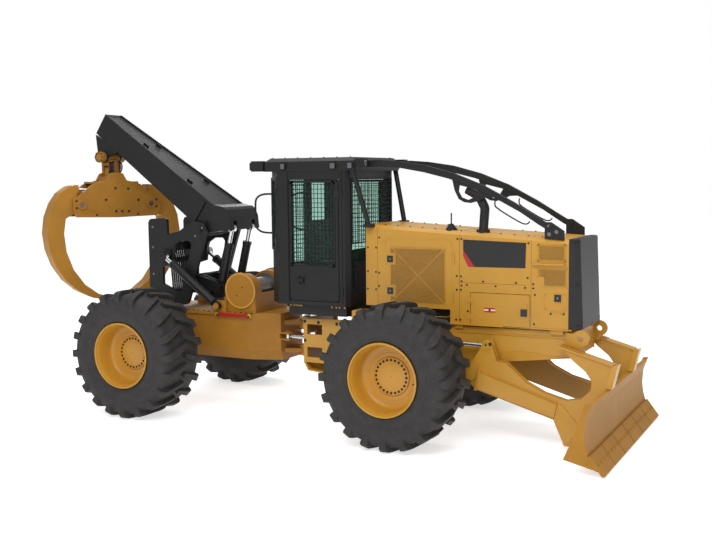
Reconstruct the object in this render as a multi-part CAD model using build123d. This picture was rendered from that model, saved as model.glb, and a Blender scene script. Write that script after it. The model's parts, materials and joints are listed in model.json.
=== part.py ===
from build123d import *
import os
from math import atan2, cos, pi, sin

os.makedirs("parts", exist_ok=True)

# Grapple skidder, in millimetres.
# X points forward, Y to the machine's left and Z up, with the ground at Z = 0.
# Every place below is measured from the vertical centre joint, which lies midway between the axles.
# The finished model is moved by frame_shift, so that X = 0 is the middle of its overall length.
frame_shift = -208.5

# Running gear
wheelbase = 4000.0
axle_x = wheelbase / 2
tyre_radius = 890.0
tyre_half_width = 380.0
wheel_centre_y = 1340.0
tread_depth = 50.0
lugs_per_side = 20
rim_radius = 440.0
rim_disc_inset = 315.0
hub_radius = 250.0
wheel_sides = 40
tread_sides = 20
axle_tube_radius = 125.0
brake_radius = 210.0
brake_outer_y = 1190.0
hub_running_gap = 6.0
spindle_radius = 80.0
axle_nose_radius = 70.0
trunnion_x = (1640.0, 1700.0)

# Clearances shared by every fit
pin_clearance = 0.4
rod_clearance = 0.4
side_clearance = 6.0
seat_gap = 0.3
cylinder_neck = 35.0
rod_end_gap = 25.0

# Centre joint
hitch_pin_radius = 45.0
hitch_eye_radius = 110.0
fork_thickness = 40.0
tongue_thickness = 60.0
hitch_levels = (855.0, 1255.0)
front_fork_x = 200.0
steer_pin_front = (750.0, 300.0)
steer_pin_rear = (-160.0, 260.0)
steer_level = 1075.0
steer_pin_radius = 22.0
wall_window = (990.0, 1160.0)
wall_post_y = 137.0

# Front frame
frame_half_width = 450.0
plate = 30.0
frame_top = 1400.0
belly_level = 630.0
frame_front_x = 4010.0
tow_lug = (4070.0, 1351.0)
tow_lug_radius = 100.0
tow_bore_radius = 35.0

# Blade, push arms and their cylinders
blade_pivot = (2740.0, 829.0)
arm_outer_y = 645.0
arm_inner_y = 535.0
arm_plate = 25.0
arm_pin_radius = 40.0
blade_half_width = 1564.0
ground_gap = 25.0
lift_pin_arm = (2942.0, 1205.0)
lift_pin_frame = (1930.0, 1225.0)
lift_pin_radius = 20.0

# Hood
hood_half_width = 500.0
hood_wall = 12.0
hood_edge = 45.0
hood_rear = (1205.0, 2693.0)
hood_front = (3924.0, 2540.0)
sill_level = 1433.0
engine_floor = 1230.0
guard_bottom = 1458.0
guard_top = 2545.0
hood_foot_level = 1620.0
service_door = (2668.0, 3450.0, 1440.0, 1856.0)
service_pin_radius = 8.0
door_gap = 6.0
hood_seats = [(2460.0, 2560.0), (3700.0, 3860.0)]

# Cab
cab_half_width = 700.0
cab_rear_x = -250.0
cab_front_x = 1050.0
cab_floor = 1600.0
cab_top = 3394.0
window_top = cab_top - 114.0
roof_x = (-255.0, 1150.0)
roof_half_width = 705.0
cab_wall = 50.0
door_x = (142.0, 910.0)
door_z = (1655.0, window_top)
door_window_x = (185.0, 832.0)
door_window_z = (2142.0, window_top - 40.0)
glass = 8.0
door_pin_radius = 12.0
door_hinge_levels = (1800.0, window_top - 180.0)
corner_window_z = (2340.0, window_top + 20.0)
roof_top = cab_top + 179.0

# Rear frame, winch and arch
deck_level = 1395.0
deck_thickness = 45.0
rear_chamfer = (860.0, 70.0)
rear_bottom = 720.0
rear_end_x = -2450.0
winch_axis = (-840.0, 1710.0)
winch_cover_radius = 260.0
winch_drum_radius = 150.0
winch_flange_radius = 235.0
arch_pivot = (-2050.0, 1520.0)
arch_plate = 50.0
arch_outer_y = 450.0
arch_pin_radius = 45.0
arch_cylinder_frame = (-1170.0, 1490.0)
arch_cylinder_arch = (-2110.0, 2180.0)
arch_cylinder_y = 540.0
arch_cylinder_pin = 26.0

# Boom
boom_pivot = (-1530.0, 2575.0)
boom_pin_radius = 45.0
boom_cylinder_arch = (-1310.0, 1745.0)
boom_cylinder_boom = (-1100.0, 2592.0)
boom_cylinder_y = 235.0
boom_cylinder_pin = 24.0

# Grapple, hung plumb under the boom and turned about its own upright axis
hang_x = -3550.0
grapple_turn = 60.0
link_pin_z = 3660.0
cross_pin_z = 3455.0
turntable_z = 3330.0
head_half_width = 270.0
head_plate = 60.0
tong_pin = (550.0, 2930.0)
tong_pin_radius = 40.0
tong_half_width = 150.0
tong_lever = (620.0, 3160.0)
tong_cylinder_base = (250.0, 3120.0)
tong_cylinder_n = 75.0
tong_cylinder_pin = 18.0
tong_eye_play = 25.0


def keep(shape, node):
    export_step(Pos(frame_shift, 0, 0) * shape, "parts/" + node + ".step")


def keep_group(shapes, node):
    """Writes solids that are welded face to face as one piece."""
    moved = [Pos(frame_shift, 0, 0) * solid for shape in shapes for solid in shape.solids()]
    export_step(Compound(moved), "parts/" + node + ".step")


def block(x0, x1, y0, y1, z0, z1):
    """A box between two corners."""
    middle = Pos((x0 + x1) / 2, (y0 + y1) / 2, (z0 + z1) / 2)
    return middle * Box(x1 - x0, y1 - y0, z1 - z0)


def side_profile(outline, y0, y1):
    """A plate or prism whose outline is drawn in X and Z, from y0 to y1."""
    return extrude(Plane.XZ.offset(-y1) * make_face(Polyline(*outline, close=True)), y1 - y0)


def plan_profile(outline, z0, z1):
    """A plate or prism whose outline is drawn in X and Y, from z0 to z1."""
    return extrude(Plane.XY.offset(z0) * make_face(Polyline(*outline, close=True)), z1 - z0)


def both_sides(shape):
    return shape + mirror(shape, Plane.XZ)


def pin_across(place, y0, y1, radius):
    """A round bar along Y through the point place = (x, z)."""
    return Pos(place[0], (y0 + y1) / 2, place[1]) * Rot(90, 0, 0) * Cylinder(radius, y1 - y0)


def upright(place, z0, z1, radius):
    """A round bar along Z at the point place = (x, y)."""
    return Pos(place[0], place[1], (z0 + z1) / 2) * Cylinder(radius, z1 - z0)


def bar(start, end, radius, start_gap=0.0, end_gap=0.0):
    """A round bar between two points, shortened by a gap at either end."""
    run = Vector(*end) - Vector(*start)
    length = run.length - start_gap - end_gap
    seat = Plane(origin=Vector(*start), z_dir=run)
    return seat * Pos(0, 0, start_gap + length / 2) * Cylinder(radius, length)


def bent_tube(points, radius, bend):
    """A round tube along straight runs joined by arcs."""
    path = FilletPolyline(*points, radius=bend)
    section = Plane(origin=path @ 0, z_dir=path % 0) * Circle(radius)
    return sweep(section, path=path)


def ring_loft(sections, sides=wheel_sides):
    """A many-sided turned solid about Y with flat faces, from a list of (y, radius)."""
    rings = []
    for y, radius in sections:
        angles = [2 * pi * number / sides for number in range(sides)]
        rings.append([(radius * sin(a), y, radius * cos(a)) for a in angles])
    faces = [Face(Wire.make_polygon(rings[0])), Face(Wire.make_polygon(rings[-1]))]
    for low, high in zip(rings, rings[1:]):
        for k in range(sides):
            n = (k + 1) % sides
            faces.append(Face(Wire.make_polygon([low[k], low[n], high[n], high[k]])))
    return Solid(Shell(faces))


def cylinder_pair(base, rod_end, y, eye_width, barrel_radius, rod_radius, pin_radius, play, closing, barrel_share):
    """The barrel and the rod of a cylinder that lies in an upright plane at y.

    base and rod_end are its pins as (x, z), and closing is how far the rod can still go in. The barrel
    ends at barrel_share of the length between the pins. The rod's eye is wider than its pin by play,
    because its travel is only nearly straight.
    """
    start = Vector(base[0], y, base[1])
    end = Vector(rod_end[0], y, rod_end[1])
    run = end - start
    length = run.length
    eye_radius = pin_radius + 22.0
    neck = eye_radius + cylinder_neck
    barrel_end = length * barrel_share
    seat = Plane(origin=start, x_dir=(0, 1, 0), z_dir=run)
    body = seat * Pos(0, 0, (neck + barrel_end) / 2) * Cylinder(barrel_radius, barrel_end - neck)
    body += seat * Pos(0, 0, barrel_end - 25) * Cylinder(barrel_radius + 6, 50)
    body += seat * Pos(0, 0, neck / 2) * Box(eye_width, 1.6 * eye_radius, neck + 10)
    body += pin_across(base, y - eye_width / 2, y + eye_width / 2, eye_radius)
    body -= seat * Pos(0, 0, neck + 20 + length / 2) * Cylinder(rod_radius + rod_clearance, length)
    body -= pin_across(base, y - eye_width, y + eye_width, pin_radius + pin_clearance)
    inside = neck + rod_end_gap + closing
    rod = seat * Pos(0, 0, (inside + length - 20) / 2) * Cylinder(rod_radius, length - 20 - inside)
    rod += pin_across(rod_end, y - eye_width / 2, y + eye_width / 2, eye_radius + play)
    rod -= pin_across(rod_end, y - eye_width, y + eye_width, pin_radius + play)
    return body, rod


# Tyres and rims
# The tyre is a many-sided ring with slanting bars fused to both shoulders.
def tyre_body():
    shoulder = tyre_radius - tread_depth
    sections = [
        # y, radius
        (-300, rim_radius + 12),
        (-tyre_half_width, 700),
        (-tyre_half_width + 50, shoulder),
        (tyre_half_width - 50, shoulder),
        (tyre_half_width, 700),
        (300, rim_radius + 12),
    ]
    ring = ring_loft(sections, tread_sides)
    return ring - ring_loft([(-tyre_half_width, rim_radius), (tyre_half_width, rim_radius)])


def tyre_lug(side):
    """One slanting bar, drawn flat on the tread and cut down to it."""
    inner_y = -15.0
    outer_y = tyre_half_width - 2.0
    reach = 170.0
    outline = [(-35, inner_y), (40, inner_y), (110, outer_y / 2), (reach, outer_y), (reach - 105, outer_y),
               (20, outer_y / 2)]
    if side < 0:
        outline = [(x, -y) for x, y in outline]
    base = tyre_radius - 2 * tread_depth
    top = (tyre_radius ** 2 - reach ** 2) ** 0.5
    flat = Plane(origin=(0, 0, base), x_dir=(1, 0, 0), z_dir=(0, 0, 1))
    return extrude(flat * make_face(Polyline(*outline, close=True)), top - base)


def tyre():
    shape = tyre_body()
    lugs = []
    step = 360.0 / lugs_per_side
    for number in range(lugs_per_side):
        lugs.append(Rot(0, number * step, 0) * tyre_lug(1))
        lugs.append(Rot(0, (number + 0.5) * step, 0) * tyre_lug(-1))
    return shape.fuse(*lugs)


def rim():
    """A dished steel rim with its planetary hub, its outer side towards -Y."""
    flange = 300.0
    face = rim_disc_inset - tyre_half_width
    outside = ring_loft([(-flange - 60, rim_radius), (flange, rim_radius)])
    dish = ring_loft([(-flange - 61, rim_radius - 22), (-flange - 25, rim_radius - 26),
                      (-flange + 5, rim_radius - 52), (face - 70, rim_radius - 70), (face, 300)])
    back = ring_loft([(face + 30, rim_radius - 30), (flange + 1, rim_radius - 22)])
    shape = outside - dish - back
    hub_inner = brake_outer_y + hub_running_gap - wheel_centre_y
    shape += ring_loft([(face - 14, hub_radius - 10), (face + 1, hub_radius)])
    shape += ring_loft([(face + 29, hub_radius - 30), (-hub_inner, hub_radius - 30)])
    return shape - pin_across((0, 0), 0, -hub_inner + 1, spindle_radius + seat_gap)


wheel_places = [
    # name, x, side
    ("front_left", axle_x, 1),
    ("front_right", axle_x, -1),
    ("rear_left", -axle_x, 1),
    ("rear_right", -axle_x, -1),
]


def wheels():
    one_tyre = tyre()
    one_rim = rim()
    for name, x, side in wheel_places:
        place = Pos(x, side * wheel_centre_y, tyre_radius)
        facing = Rot(0, 0, 180) if side > 0 else Rot(0, 0, 0)
        keep(place * one_tyre, "tyre_" + name)
        keep(place * facing * one_rim, "rim_" + name)


def axle(x):
    """A rigid axle: bowl, tapering tubes and brake housings."""
    half = [
        # y, radius
        (0, 235),
        (110, 225),
        (210, 160),
        (410, axle_tube_radius),
        (900, axle_tube_radius),
        (930, brake_radius),
        (brake_outer_y, brake_radius),
    ]
    outline = [(0, 0)] + [(r, y) for y, r in half] + [(0, brake_outer_y)]
    arm = revolve(Plane.XY * make_face(Polyline(*outline, close=True)), Axis.Y)
    arm += pin_across((0, 0), brake_outer_y - 1, wheel_centre_y - seat_gap, spindle_radius)
    nose = Pos(-130, 0, 0) * Rot(0, 90, 0) * Cone(85, 150, 260)
    nose += Pos(-330, 0, 0) * Rot(0, 90, 0) * Cylinder(axle_nose_radius, 140)
    if x < 0:
        nose = mirror(nose, Plane.YZ)
    return Pos(x, 0, tyre_radius) * (both_sides(arm) + nose)


# Front frame
def frame_side():
    """The left side plate with everything welded to it."""
    outline = [
        (front_fork_x, 767), (front_fork_x, 1372), (1250, frame_top), (frame_front_x, frame_top + 20),
        (frame_front_x, 1105), (3080, 990), (2930, 730), (2560, 730), (2450, 1100), (1560, 1100),
        (1400, 767),
    ]
    shape = side_profile(outline, frame_half_width - plate, frame_half_width)
    for x0, x1, z0, z1 in ((258, 494, 1160, 1300), (258, 494, 840, 980)):
        shape -= block(x0, x1, 400, 500, z0, z1)
    band = [(3066, 992), (3075, 1126), (3225, 1122), (3245, 1142), (3555, 1132), (3575, 1112), (3915, 1098),
            (frame_front_x, 1108)]
    shape += side_profile(band, frame_half_width - 1, frame_half_width + 16)
    shape += block(2480, frame_front_x, frame_half_width - 1, frame_half_width + 12, 1330, 1352)
    shape += pin_across(blade_pivot, frame_half_width, arm_inner_y - side_clearance, 75)
    shape += pin_across(blade_pivot, frame_half_width, arm_outer_y + 15, arm_pin_radius)
    shape += pin_across(blade_pivot, arm_outer_y + side_clearance, arm_outer_y + 20, 62)
    shape += pin_across(lift_pin_frame, frame_half_width, 558, 45)
    shape += pin_across(lift_pin_frame, frame_half_width, 630, lift_pin_radius)
    shape += pin_across(lift_pin_frame, 622, 636, 40)
    lug = side_profile([(3900, 1180), (4070, 1200), (4070, 1400), (3900, 1415)], 440, 492)
    lug += pin_across(tow_lug, 440, 492, tow_lug_radius)
    shape += lug
    shape -= pin_across(tow_lug, 400, 520, tow_bore_radius)
    for x0, x1 in hood_seats:
        shape += block(x0, x1, frame_half_width, hood_half_width - hood_wall - seat_gap, 1385, 1500)
    shelf = block(1080, 1390, frame_half_width - 1, 680, 1402, 1560)
    return shape + shelf


def front_frame():
    """The welded plates of the front frame, each a solid that meets its neighbours face to face."""
    inner = frame_half_width - plate
    side = frame_side()
    pan = side_profile([(front_fork_x, 767), (front_fork_x + 60, 650), (500, belly_level), (1290, belly_level),
                        (1400, 767), (1360, 767), (1270, belly_level + 20), (510, belly_level + 20),
                        (front_fork_x + 80, 670), (front_fork_x + 30, 767)],
                       -frame_half_width, frame_half_width)
    wall_end = front_fork_x + plate
    lower_wall = block(front_fork_x, wall_end, -inner, inner, 767, wall_window[0])
    upper_wall = block(front_fork_x, wall_end, -inner, inner, wall_window[1], 1372)
    wall_post = block(front_fork_x, wall_end, -wall_post_y, wall_post_y, *wall_window)
    anchor = block(steer_pin_front[0] - 50, 830, 225, inner, steer_level - 75, steer_level - 35)
    anchor += block(steer_pin_front[0] - 50, 830, 225, inner, steer_level + 35, steer_level + 75)
    anchor += upright(steer_pin_front, steer_level - 75, steer_level + 75, steer_pin_radius)
    anchor += block(800, 830, 225, inner, steer_level - 75, steer_level + 75)
    carrier = block(*trunnion_x, -inner, inner, 780, 1150)
    carrier -= Pos(trunnion_x[0], 0, tyre_radius) * Rot(0, 90, 0) * Cylinder(axle_nose_radius + seat_gap, 200)
    carrier += block(1470, trunnion_x[0], -inner, inner, 1110, 1150)
    carrier += block(1440, 1470, -inner, inner, 1110, 1380)
    bulkhead = block(2560, 2590, -inner, inner, 740, engine_floor - seat_gap)
    bulkhead += block(2300, 2560, -inner, inner, 1110, 1150)
    floor_plate = block(1000, 1440, -inner, inner, 1360, 1390)
    nose = block(3975, 4005, -inner, inner, 1110, 1415)
    return [side, mirror(side, Plane.XZ), pan, lower_wall, upper_wall, wall_post, anchor,
            mirror(anchor, Plane.XZ), carrier, bulkhead, floor_plate, nose, pivot_forks()]


def pivot_forks():
    """Two forks that hold the rear frame's tongues, with the hinge pins."""
    shape = None
    for level in hitch_levels:
        for sign in (-1, 1):
            offset = sign * (tongue_thickness / 2 + side_clearance + fork_thickness / 2)
            z0 = level + offset - fork_thickness / 2
            z1 = level + offset + fork_thickness / 2
            outline = [(0, -hitch_eye_radius), (front_fork_x, -250), (front_fork_x, 250),
                       (0, hitch_eye_radius)]
            ear = plan_profile(outline, z0, z1) + upright((0, 0), z0, z1, hitch_eye_radius)
            shape = ear if shape is None else shape + ear
        shape += upright((0, 0), level - 95, level + 95, hitch_pin_radius)
    return shape


def engine_block():
    return block(1760, 3060, -330, 330, engine_floor, 2150)


# Hood and its grilles
def hood_section(x, top, grow):
    """The hood's cross-section: a roof with bevelled edges and open at its foot."""
    half = hood_half_width + grow
    edge = hood_edge
    outline = [(-half, 1300), (-half, top + grow - edge), (-half + edge, top + grow), (half - edge, top + grow),
               (half, top + grow - edge), (half, 1300)]
    return Plane.YZ.offset(x) * make_face(Polyline(*outline, close=True))


def hood_foot():
    """What lies below the hood's lower edge, seen from the side."""
    outline = [(1100, 1200), (4100, 1200), (4100, sill_level), (2400, sill_level), (2400, hood_foot_level),
               (1100, hood_foot_level)]
    return side_profile(outline, -600, 600)


hood_windows = [
    # x0, x1, z0, z1
    (1406, 2350, 1656, 2407),
    (3544, 3880, 2272, 2474),
    (3546, 3900, 1961, 2188),
]


def hood():
    outer = loft([hood_section(hood_rear[0], hood_rear[1], 0), hood_section(hood_front[0], hood_front[1], 0)])
    inner = loft([hood_section(hood_rear[0] + hood_wall, hood_rear[1], -hood_wall),
                  hood_section(hood_front[0] + 5, hood_front[1], -hood_wall)])
    shape = outer - inner - hood_foot()
    for x0, x1, z0, z1 in hood_windows:
        shape -= block(x0, x1, -600, 600, z0, z1)
    x0, x1, z0, z1 = service_door
    shape -= block(x0, x1, -600, 600, z0, z1)
    pin_edge = x0 + 2 - service_pin_radius - seat_gap
    leaf = block(pin_edge - 45, pin_edge, hood_half_width, hood_half_width + 12, z0 + 70, z0 + 130)
    leaf += block(pin_edge - 45, pin_edge, hood_half_width, hood_half_width + 12, z1 - 130, z1 - 70)
    return shape + both_sides(leaf)


def hood_panels():
    """The hood's two sides, top and rear wall, which meet edge to edge."""
    whole = hood()
    side = hood_half_width - hood_edge
    rear = hood_rear[0] + hood_wall
    front = hood_front[0] + 100
    top = hood_rear[1] + 100
    left = whole & block(0, front, side, 2 * side, 0, top)
    right = whole & block(0, front, -2 * side, -side, 0, top)
    middle = whole & block(rear, front, -side, side, 0, top)
    back = whole & block(0, rear, -side, side, 0, top)
    return [left, right, middle, back]


def louvre_panel(x0, x1, z0, z1, slats, border):
    """A framed panel of slanting slats on the left side, its face flush with the hood."""
    y1 = hood_half_width
    y0 = y1 - 34.0
    frame = block(x0, x1, y0, y1, z0, z1) - block(x0 + border, x1 - border, y0 - 1, y1 + 1, z0 + border, z1 - border)
    pitch = (z1 - z0 - 2 * border) / slats
    for number in range(slats):
        z = z0 + border + (number + 0.5) * pitch
        slat = Pos((x0 + x1) / 2, (y0 + y1) / 2, z) * Rot(35, 0, 0) * Box(x1 - x0 - 2 * border + 4, 30, 6)
        frame += slat
    return frame


def hood_grilles():
    big = louvre_panel(*hood_windows[0], slats=11, border=28)
    upper = louvre_panel(*hood_windows[1], slats=5, border=18)
    lower = louvre_panel(*hood_windows[2], slats=5, border=18)
    return both_sides(big + upper + lower)


def service_panel():
    x0, x1, z0, z1 = service_door
    panel = block(x0 + door_gap, x1 - door_gap, hood_half_width - hood_wall, hood_half_width, z0 + door_gap,
                  z1 - door_gap)
    latch = block(x1 - 80, x1 - 40, hood_half_width, hood_half_width + 14, 1680, 1740)
    hinge = upright((x0 + 2, hood_half_width + 12), z0 + 60, z0 + 140, service_pin_radius)
    hinge += upright((x0 + 2, hood_half_width + 12), z1 - 140, z1 - 60, service_pin_radius)
    leaf = block(x0 + 2, x0 + 60, hood_half_width, hood_half_width + 6, z0 + 70, z0 + 130)
    leaf += block(x0 + 2, x0 + 60, hood_half_width, hood_half_width + 6, z1 - 130, z1 - 70)
    return panel + latch + hinge + leaf


def front_guard():
    def plan(shift, z):
        back = hood_front[0]
        outline = [(back, -500), (3985 + shift, -500), (4040 + shift, -420), (4040 + shift, 420),
                   (3985 + shift, 500), (back, 500)]
        return Plane.XY.offset(z) * make_face(Polyline(*outline, close=True))

    shape = loft([plan(44, guard_bottom), plan(0, guard_top)])
    shape -= loft([Plane.XY.offset(1500) * Pos(4000, 0) * Rectangle(140, 760),
                   Plane.XY.offset(2460) * Pos(3960, 0) * Rectangle(140, 760)])
    bars = 8
    for number in range(bars):
        z = 1500 + (number + 0.5) * 960 / bars
        shape += Pos(4045 - 0.045 * (z - 1433), 0, z) * Rot(0, 35, 0) * Box(70, 764, 10)
    return shape


# Cab
cab_plan = [(cab_rear_x, -480), (-30, -cab_half_width), (1000, -cab_half_width), (cab_front_x, -640),
            (cab_front_x, 640), (1000, cab_half_width), (-30, cab_half_width), (cab_rear_x, 480)]


def front_window(gap, depth):
    """The windscreen's outline, wide above the hood and with a leg down each side of it."""
    outline = [(-600, 1800), (-520, 1800), (-520, 2180), (520, 2180), (520, 1800), (600, 1800),
               (600, window_top), (-600, window_top)]
    face = make_face(Polyline(*outline, close=True))
    if gap:
        face = offset(face, -gap, kind=Kind.INTERSECTION)
    return extrude(Plane.YZ.offset(cab_front_x - 30 - depth / 4) * face, depth)


def corner_window(side, depth, gap):
    """The window across a rear corner of the cab, smaller all round by gap."""
    low, high = corner_window_z
    pane = Box(depth, 300 - 2 * gap, high - low - 2 * gap)
    return Pos(-140, side * 590, (low + high) / 2) * Rot(0, 0, side * 45) * pane


def cab_shell():
    outer = plan_profile(cab_plan, cab_floor, cab_top)
    w = cab_wall
    inner_plan = [(cab_rear_x + w, -460), (-10, -cab_half_width + w), (980, -cab_half_width + w),
                  (cab_front_x - w, -610), (cab_front_x - w, 610), (980, cab_half_width - w),
                  (-10, cab_half_width - w), (cab_rear_x + w, 460)]
    shape = outer - plan_profile(inner_plan, cab_floor + 40, cab_top + 1)
    shape -= block(door_x[0], door_x[1], -800, 800, door_z[0], door_z[1])
    shape -= front_window(0, 200)
    shape -= block(-400, -100, -400, 400, 2100, window_top)
    for side in (-1, 1):
        shape -= corner_window(side, 200, 0)
    shape += block(80, 970, -620, 620, 1456, cab_floor)
    edge = door_x[1] + 4 + door_pin_radius + seat_gap
    for z in door_hinge_levels:
        shape += both_sides(block(edge, edge + 40, cab_half_width, cab_half_width + 14, z - 50, z + 50))
    return shape


def cab_glass():
    g = seat_gap
    front = front_window(g, glass)
    rear = block(cab_rear_x + 20, cab_rear_x + 20 + glass, -400 + g, 400 - g, 2100 + g,
                 window_top - g)
    panes = front + rear
    for side in (-1, 1):
        panes += corner_window(side, glass, g)
    return panes


def door_panel():
    x0, x1 = door_x
    z0, z1 = door_z
    g = door_gap
    shape = block(x0 + g, x1 - g, cab_half_width - 44, cab_half_width, z0 + g, z1 - g)
    shape -= block(door_window_x[0], door_window_x[1], 600, 800, door_window_z[0], door_window_z[1])
    shape += block(250, 370, cab_half_width, cab_half_width + 30, 1915, 1955)
    for z in door_hinge_levels:
        shape += upright((x1 + 4, cab_half_width + 14), z - 60, z + 60, door_pin_radius)
        shape += block(x1 - 60, x1 + 4, cab_half_width, cab_half_width + 8, z - 50, z + 50)
    return shape


def door_glass():
    return block(door_window_x[0] + 0.5, door_window_x[1] - 0.5, cab_half_width - 30, cab_half_width - 30 + glass,
                 door_window_z[0] + 0.5, door_window_z[1] - 0.5)


def cab_roof():
    """A flat slab with bevelled upper edges and a lamp box at each rear corner."""
    middle = (roof_x[0] + roof_x[1]) / 2
    length = roof_x[1] - roof_x[0]
    bevel = roof_top - 48
    slab = extrude(Plane.XY.offset(cab_top) * Pos(middle, 0) * RectangleRounded(length, 2 * roof_half_width, 60),
                   bevel - cab_top)
    lower = Plane.XY.offset(bevel) * Pos(middle, 0) * RectangleRounded(length, 2 * roof_half_width, 60)
    upper = Plane.XY.offset(roof_top) * Pos(middle, 0) * RectangleRounded(length - 120, 2 * roof_half_width - 120, 60)
    box = block(-450, roof_x[0] + 1, 520, 700, cab_top + 4, roof_top - 33)
    box += block(roof_x[1] - 1, 1275, 560, 690, cab_top + 46, roof_top - 23)
    return slab + loft([lower, upper]) + both_sides(box)


def seat_frame():
    shape = block(250, 560, -180, 180, cab_floor + 40, cab_floor + 400)
    shape += block(170, 640, -230, 230, cab_floor + 400, cab_floor + 430)
    shape += block(120, 170, -200, 200, cab_floor + 400, cab_floor + 1050)
    return shape


def seat_cushion():
    return block(185, 640, -240, 240, cab_floor + 430.5, cab_floor + 540)


def seat_back():
    return side_profile([(170.5, cab_floor + 545), (290, cab_floor + 545), (260, cab_floor + 1130),
                         (170.5, cab_floor + 1130)], -235, 235)


def consoles():
    arm = block(330, 760, 300, 430, cab_floor + 40, cab_floor + 560)
    shape = both_sides(arm)
    dash = side_profile([(820, cab_floor + 40), (995, cab_floor + 40), (995, cab_floor + 700),
                         (900, cab_floor + 740), (820, cab_floor + 560)], -300, 300)
    return shape + dash


# Brush guards from the roof to the hood's nose
def riser_outline():
    """The riser's side view: a bowed flat bar from the roof down to the hood's nose."""
    start = roof_x[1] + seat_gap
    top = [(start, cab_top + 126), (1420, cab_top + 136), (1695, cab_top + 114), (2053, cab_top + 59),
           (2450, 3345), (2838, 3193), (3230, 2985), (3597, 2765), (3720, 2690)]
    low = [(3680, 2640), (3560, 2706), (3320, 2862), (3000, 3030), (2700, 3170), (2380, 3278),
           (2040, cab_top - 32), (1695, cab_top + 29), (1420, cab_top + 46), (start, cab_top + 46)]
    return top + low


def limb_risers():
    y = 475.0
    rail = side_profile(riser_outline(), y - 28, y + 28)
    gusset = side_profile([(2420, 3275), (2455, 3130), (2510, 3022), (2582, 2983), (2670, 2972), (2760, 2995),
                           (2860, 3040), (3020, 3045)], y - 10, y + 10)
    gusset -= side_profile([(2520, 3195), (2508, 3117), (2552, 3042), (2640, 3010), (2712, 3046), (2765, 3135)],
                           y - 20, y + 20)
    foot = side_profile([(3620, 2545), (3620, 2745), (3700, 2745), (3860, 2640), (3860, 2528)], y - 14, y + 14)
    brace = bar((1098, 655, cab_top + 20), (1275, 560, 2700), 34)
    brace += block(1225, 1330, 470, 620, 2655, 2700)
    return both_sides(rail + gusset + foot + brace) - cab_roof() - hood()


def exhaust_stack():
    """A stack that rises from the hood and bends rearward beside the riser."""
    y = -380.0
    path = [(2799, y, 2597), (2822, y, 2910), (2745, y, 3055), (2585, y, 3140)]
    shape = bent_tube(path, 58, 110)
    shape += upright((2799, y), 2597, 2640, 85)
    mouth = Plane(origin=path[3], z_dir=Vector(*path[2]) - Vector(*path[3]))
    return shape - mouth * Pos(0, 0, 50) * Cylinder(50, 120) - hood()


def precleaner():
    """A low cap on the hood with a thin mast."""
    base = (2369.0, -380.0)
    shape = Pos(base[0], base[1], 2664) * Cone(88, 24, 86) + upright(base, 2700, 2843, 9)
    return shape - hood()


def roof_lamps():
    """Work lamps set on the roof's side edges and its rear boxes."""
    near = roof_half_width + seat_gap
    far = roof_half_width + 30
    lamps = [
        # x0, x1, y0, y1, z0, z1
        (40, 110, near, far, cab_top + 26, cab_top + 106),
        (800, 880, near, far, cab_top + 26, cab_top + 106),
        (1060, 1130, near, far, cab_top + 26, cab_top + 106),
        (-490, -450 - seat_gap, 545, 675, cab_top + 21, cab_top + 126),
    ]
    shapes = [block(*corners) for corners in lamps]
    return both_sides(shapes[0].fuse(*shapes[1:]))


# Blade assembly
def push_frame():
    """Two welded arms, each a pair of plates with a box beam outside and a wing that backs the blade."""
    outline = [(2862, 1180), (2890, 1270), (2985, 1290), (3070, 1030), (3190, 1010), (3444, 794), (3674, 682),
               (3938, 614), (4122, 650), (4240, 772), (4247, 882), (4174, 986), (4026, 1103), (3851, 1279),
               (4488, 1098), (4488, 1042), (4418, 790), (4398, 640), (4386, 480), (4398, 350), (4330, 200),
               (4050, 60), (3925, 60), (3790, 370), (2800, 655), (2700, 740), (2690, 900)]
    plates = side_profile(outline, arm_outer_y - arm_plate, arm_outer_y)
    plates += side_profile(outline, arm_inner_y, arm_inner_y + arm_plate)
    lower = side_profile([(3790, 370), (2900, 640), (2905, 660), (3800, 390), (3935, 80), (3925, 60)],
                         arm_inner_y, arm_outer_y)
    upper = side_profile([(3250, 935), (3444, 780), (3674, 668), (3938, 600), (3938, 580), (3674, 650),
                          (3440, 762), (3240, 920)], arm_inner_y, arm_outer_y)
    beam = side_profile([(2868, 890), (3845, 577), (3800, 385), (2809, 662)], arm_outer_y - 1, arm_outer_y + 32)
    beam += side_profile([(2850, 912), (2874, 905), (2814, 645), (2790, 652)], arm_outer_y - 1, arm_outer_y + 44)
    brace = side_profile([(3845, 577), (3900, 560), (4100, 330), (4030, 150), (3960, 90), (3800, 385)],
                         arm_outer_y - 1, arm_outer_y + 12)
    crown = side_profile([(3851, 1279), (4500, 1096), (4500, 1076), (3853, 1258)], arm_inner_y - 20, arm_outer_y + 30)
    face = side_profile([(4488, 1078), (4560, 1092), (4492, 806), (4424, 806)], arm_inner_y - 20, arm_outer_y + 30)
    shape = plates + lower + upper + beam + brace + crown + face
    shape -= pin_across(blade_pivot, 500, 700, arm_pin_radius + pin_clearance)
    head = pin_across(lift_pin_arm, arm_outer_y, arm_outer_y + 15, 40)
    head += pin_across(lift_pin_arm, arm_inner_y - 15, arm_inner_y, 40)
    head += pin_across(lift_pin_arm, arm_inner_y, arm_outer_y, lift_pin_radius)
    return both_sides(shape + head) - blade()


blade_skin = [
    # x, z on the front face, from the ground up
    (4560, 75), (4446, 226), (4412, 350), (4400, 480), (4412, 640), (4462, 790),
]


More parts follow.
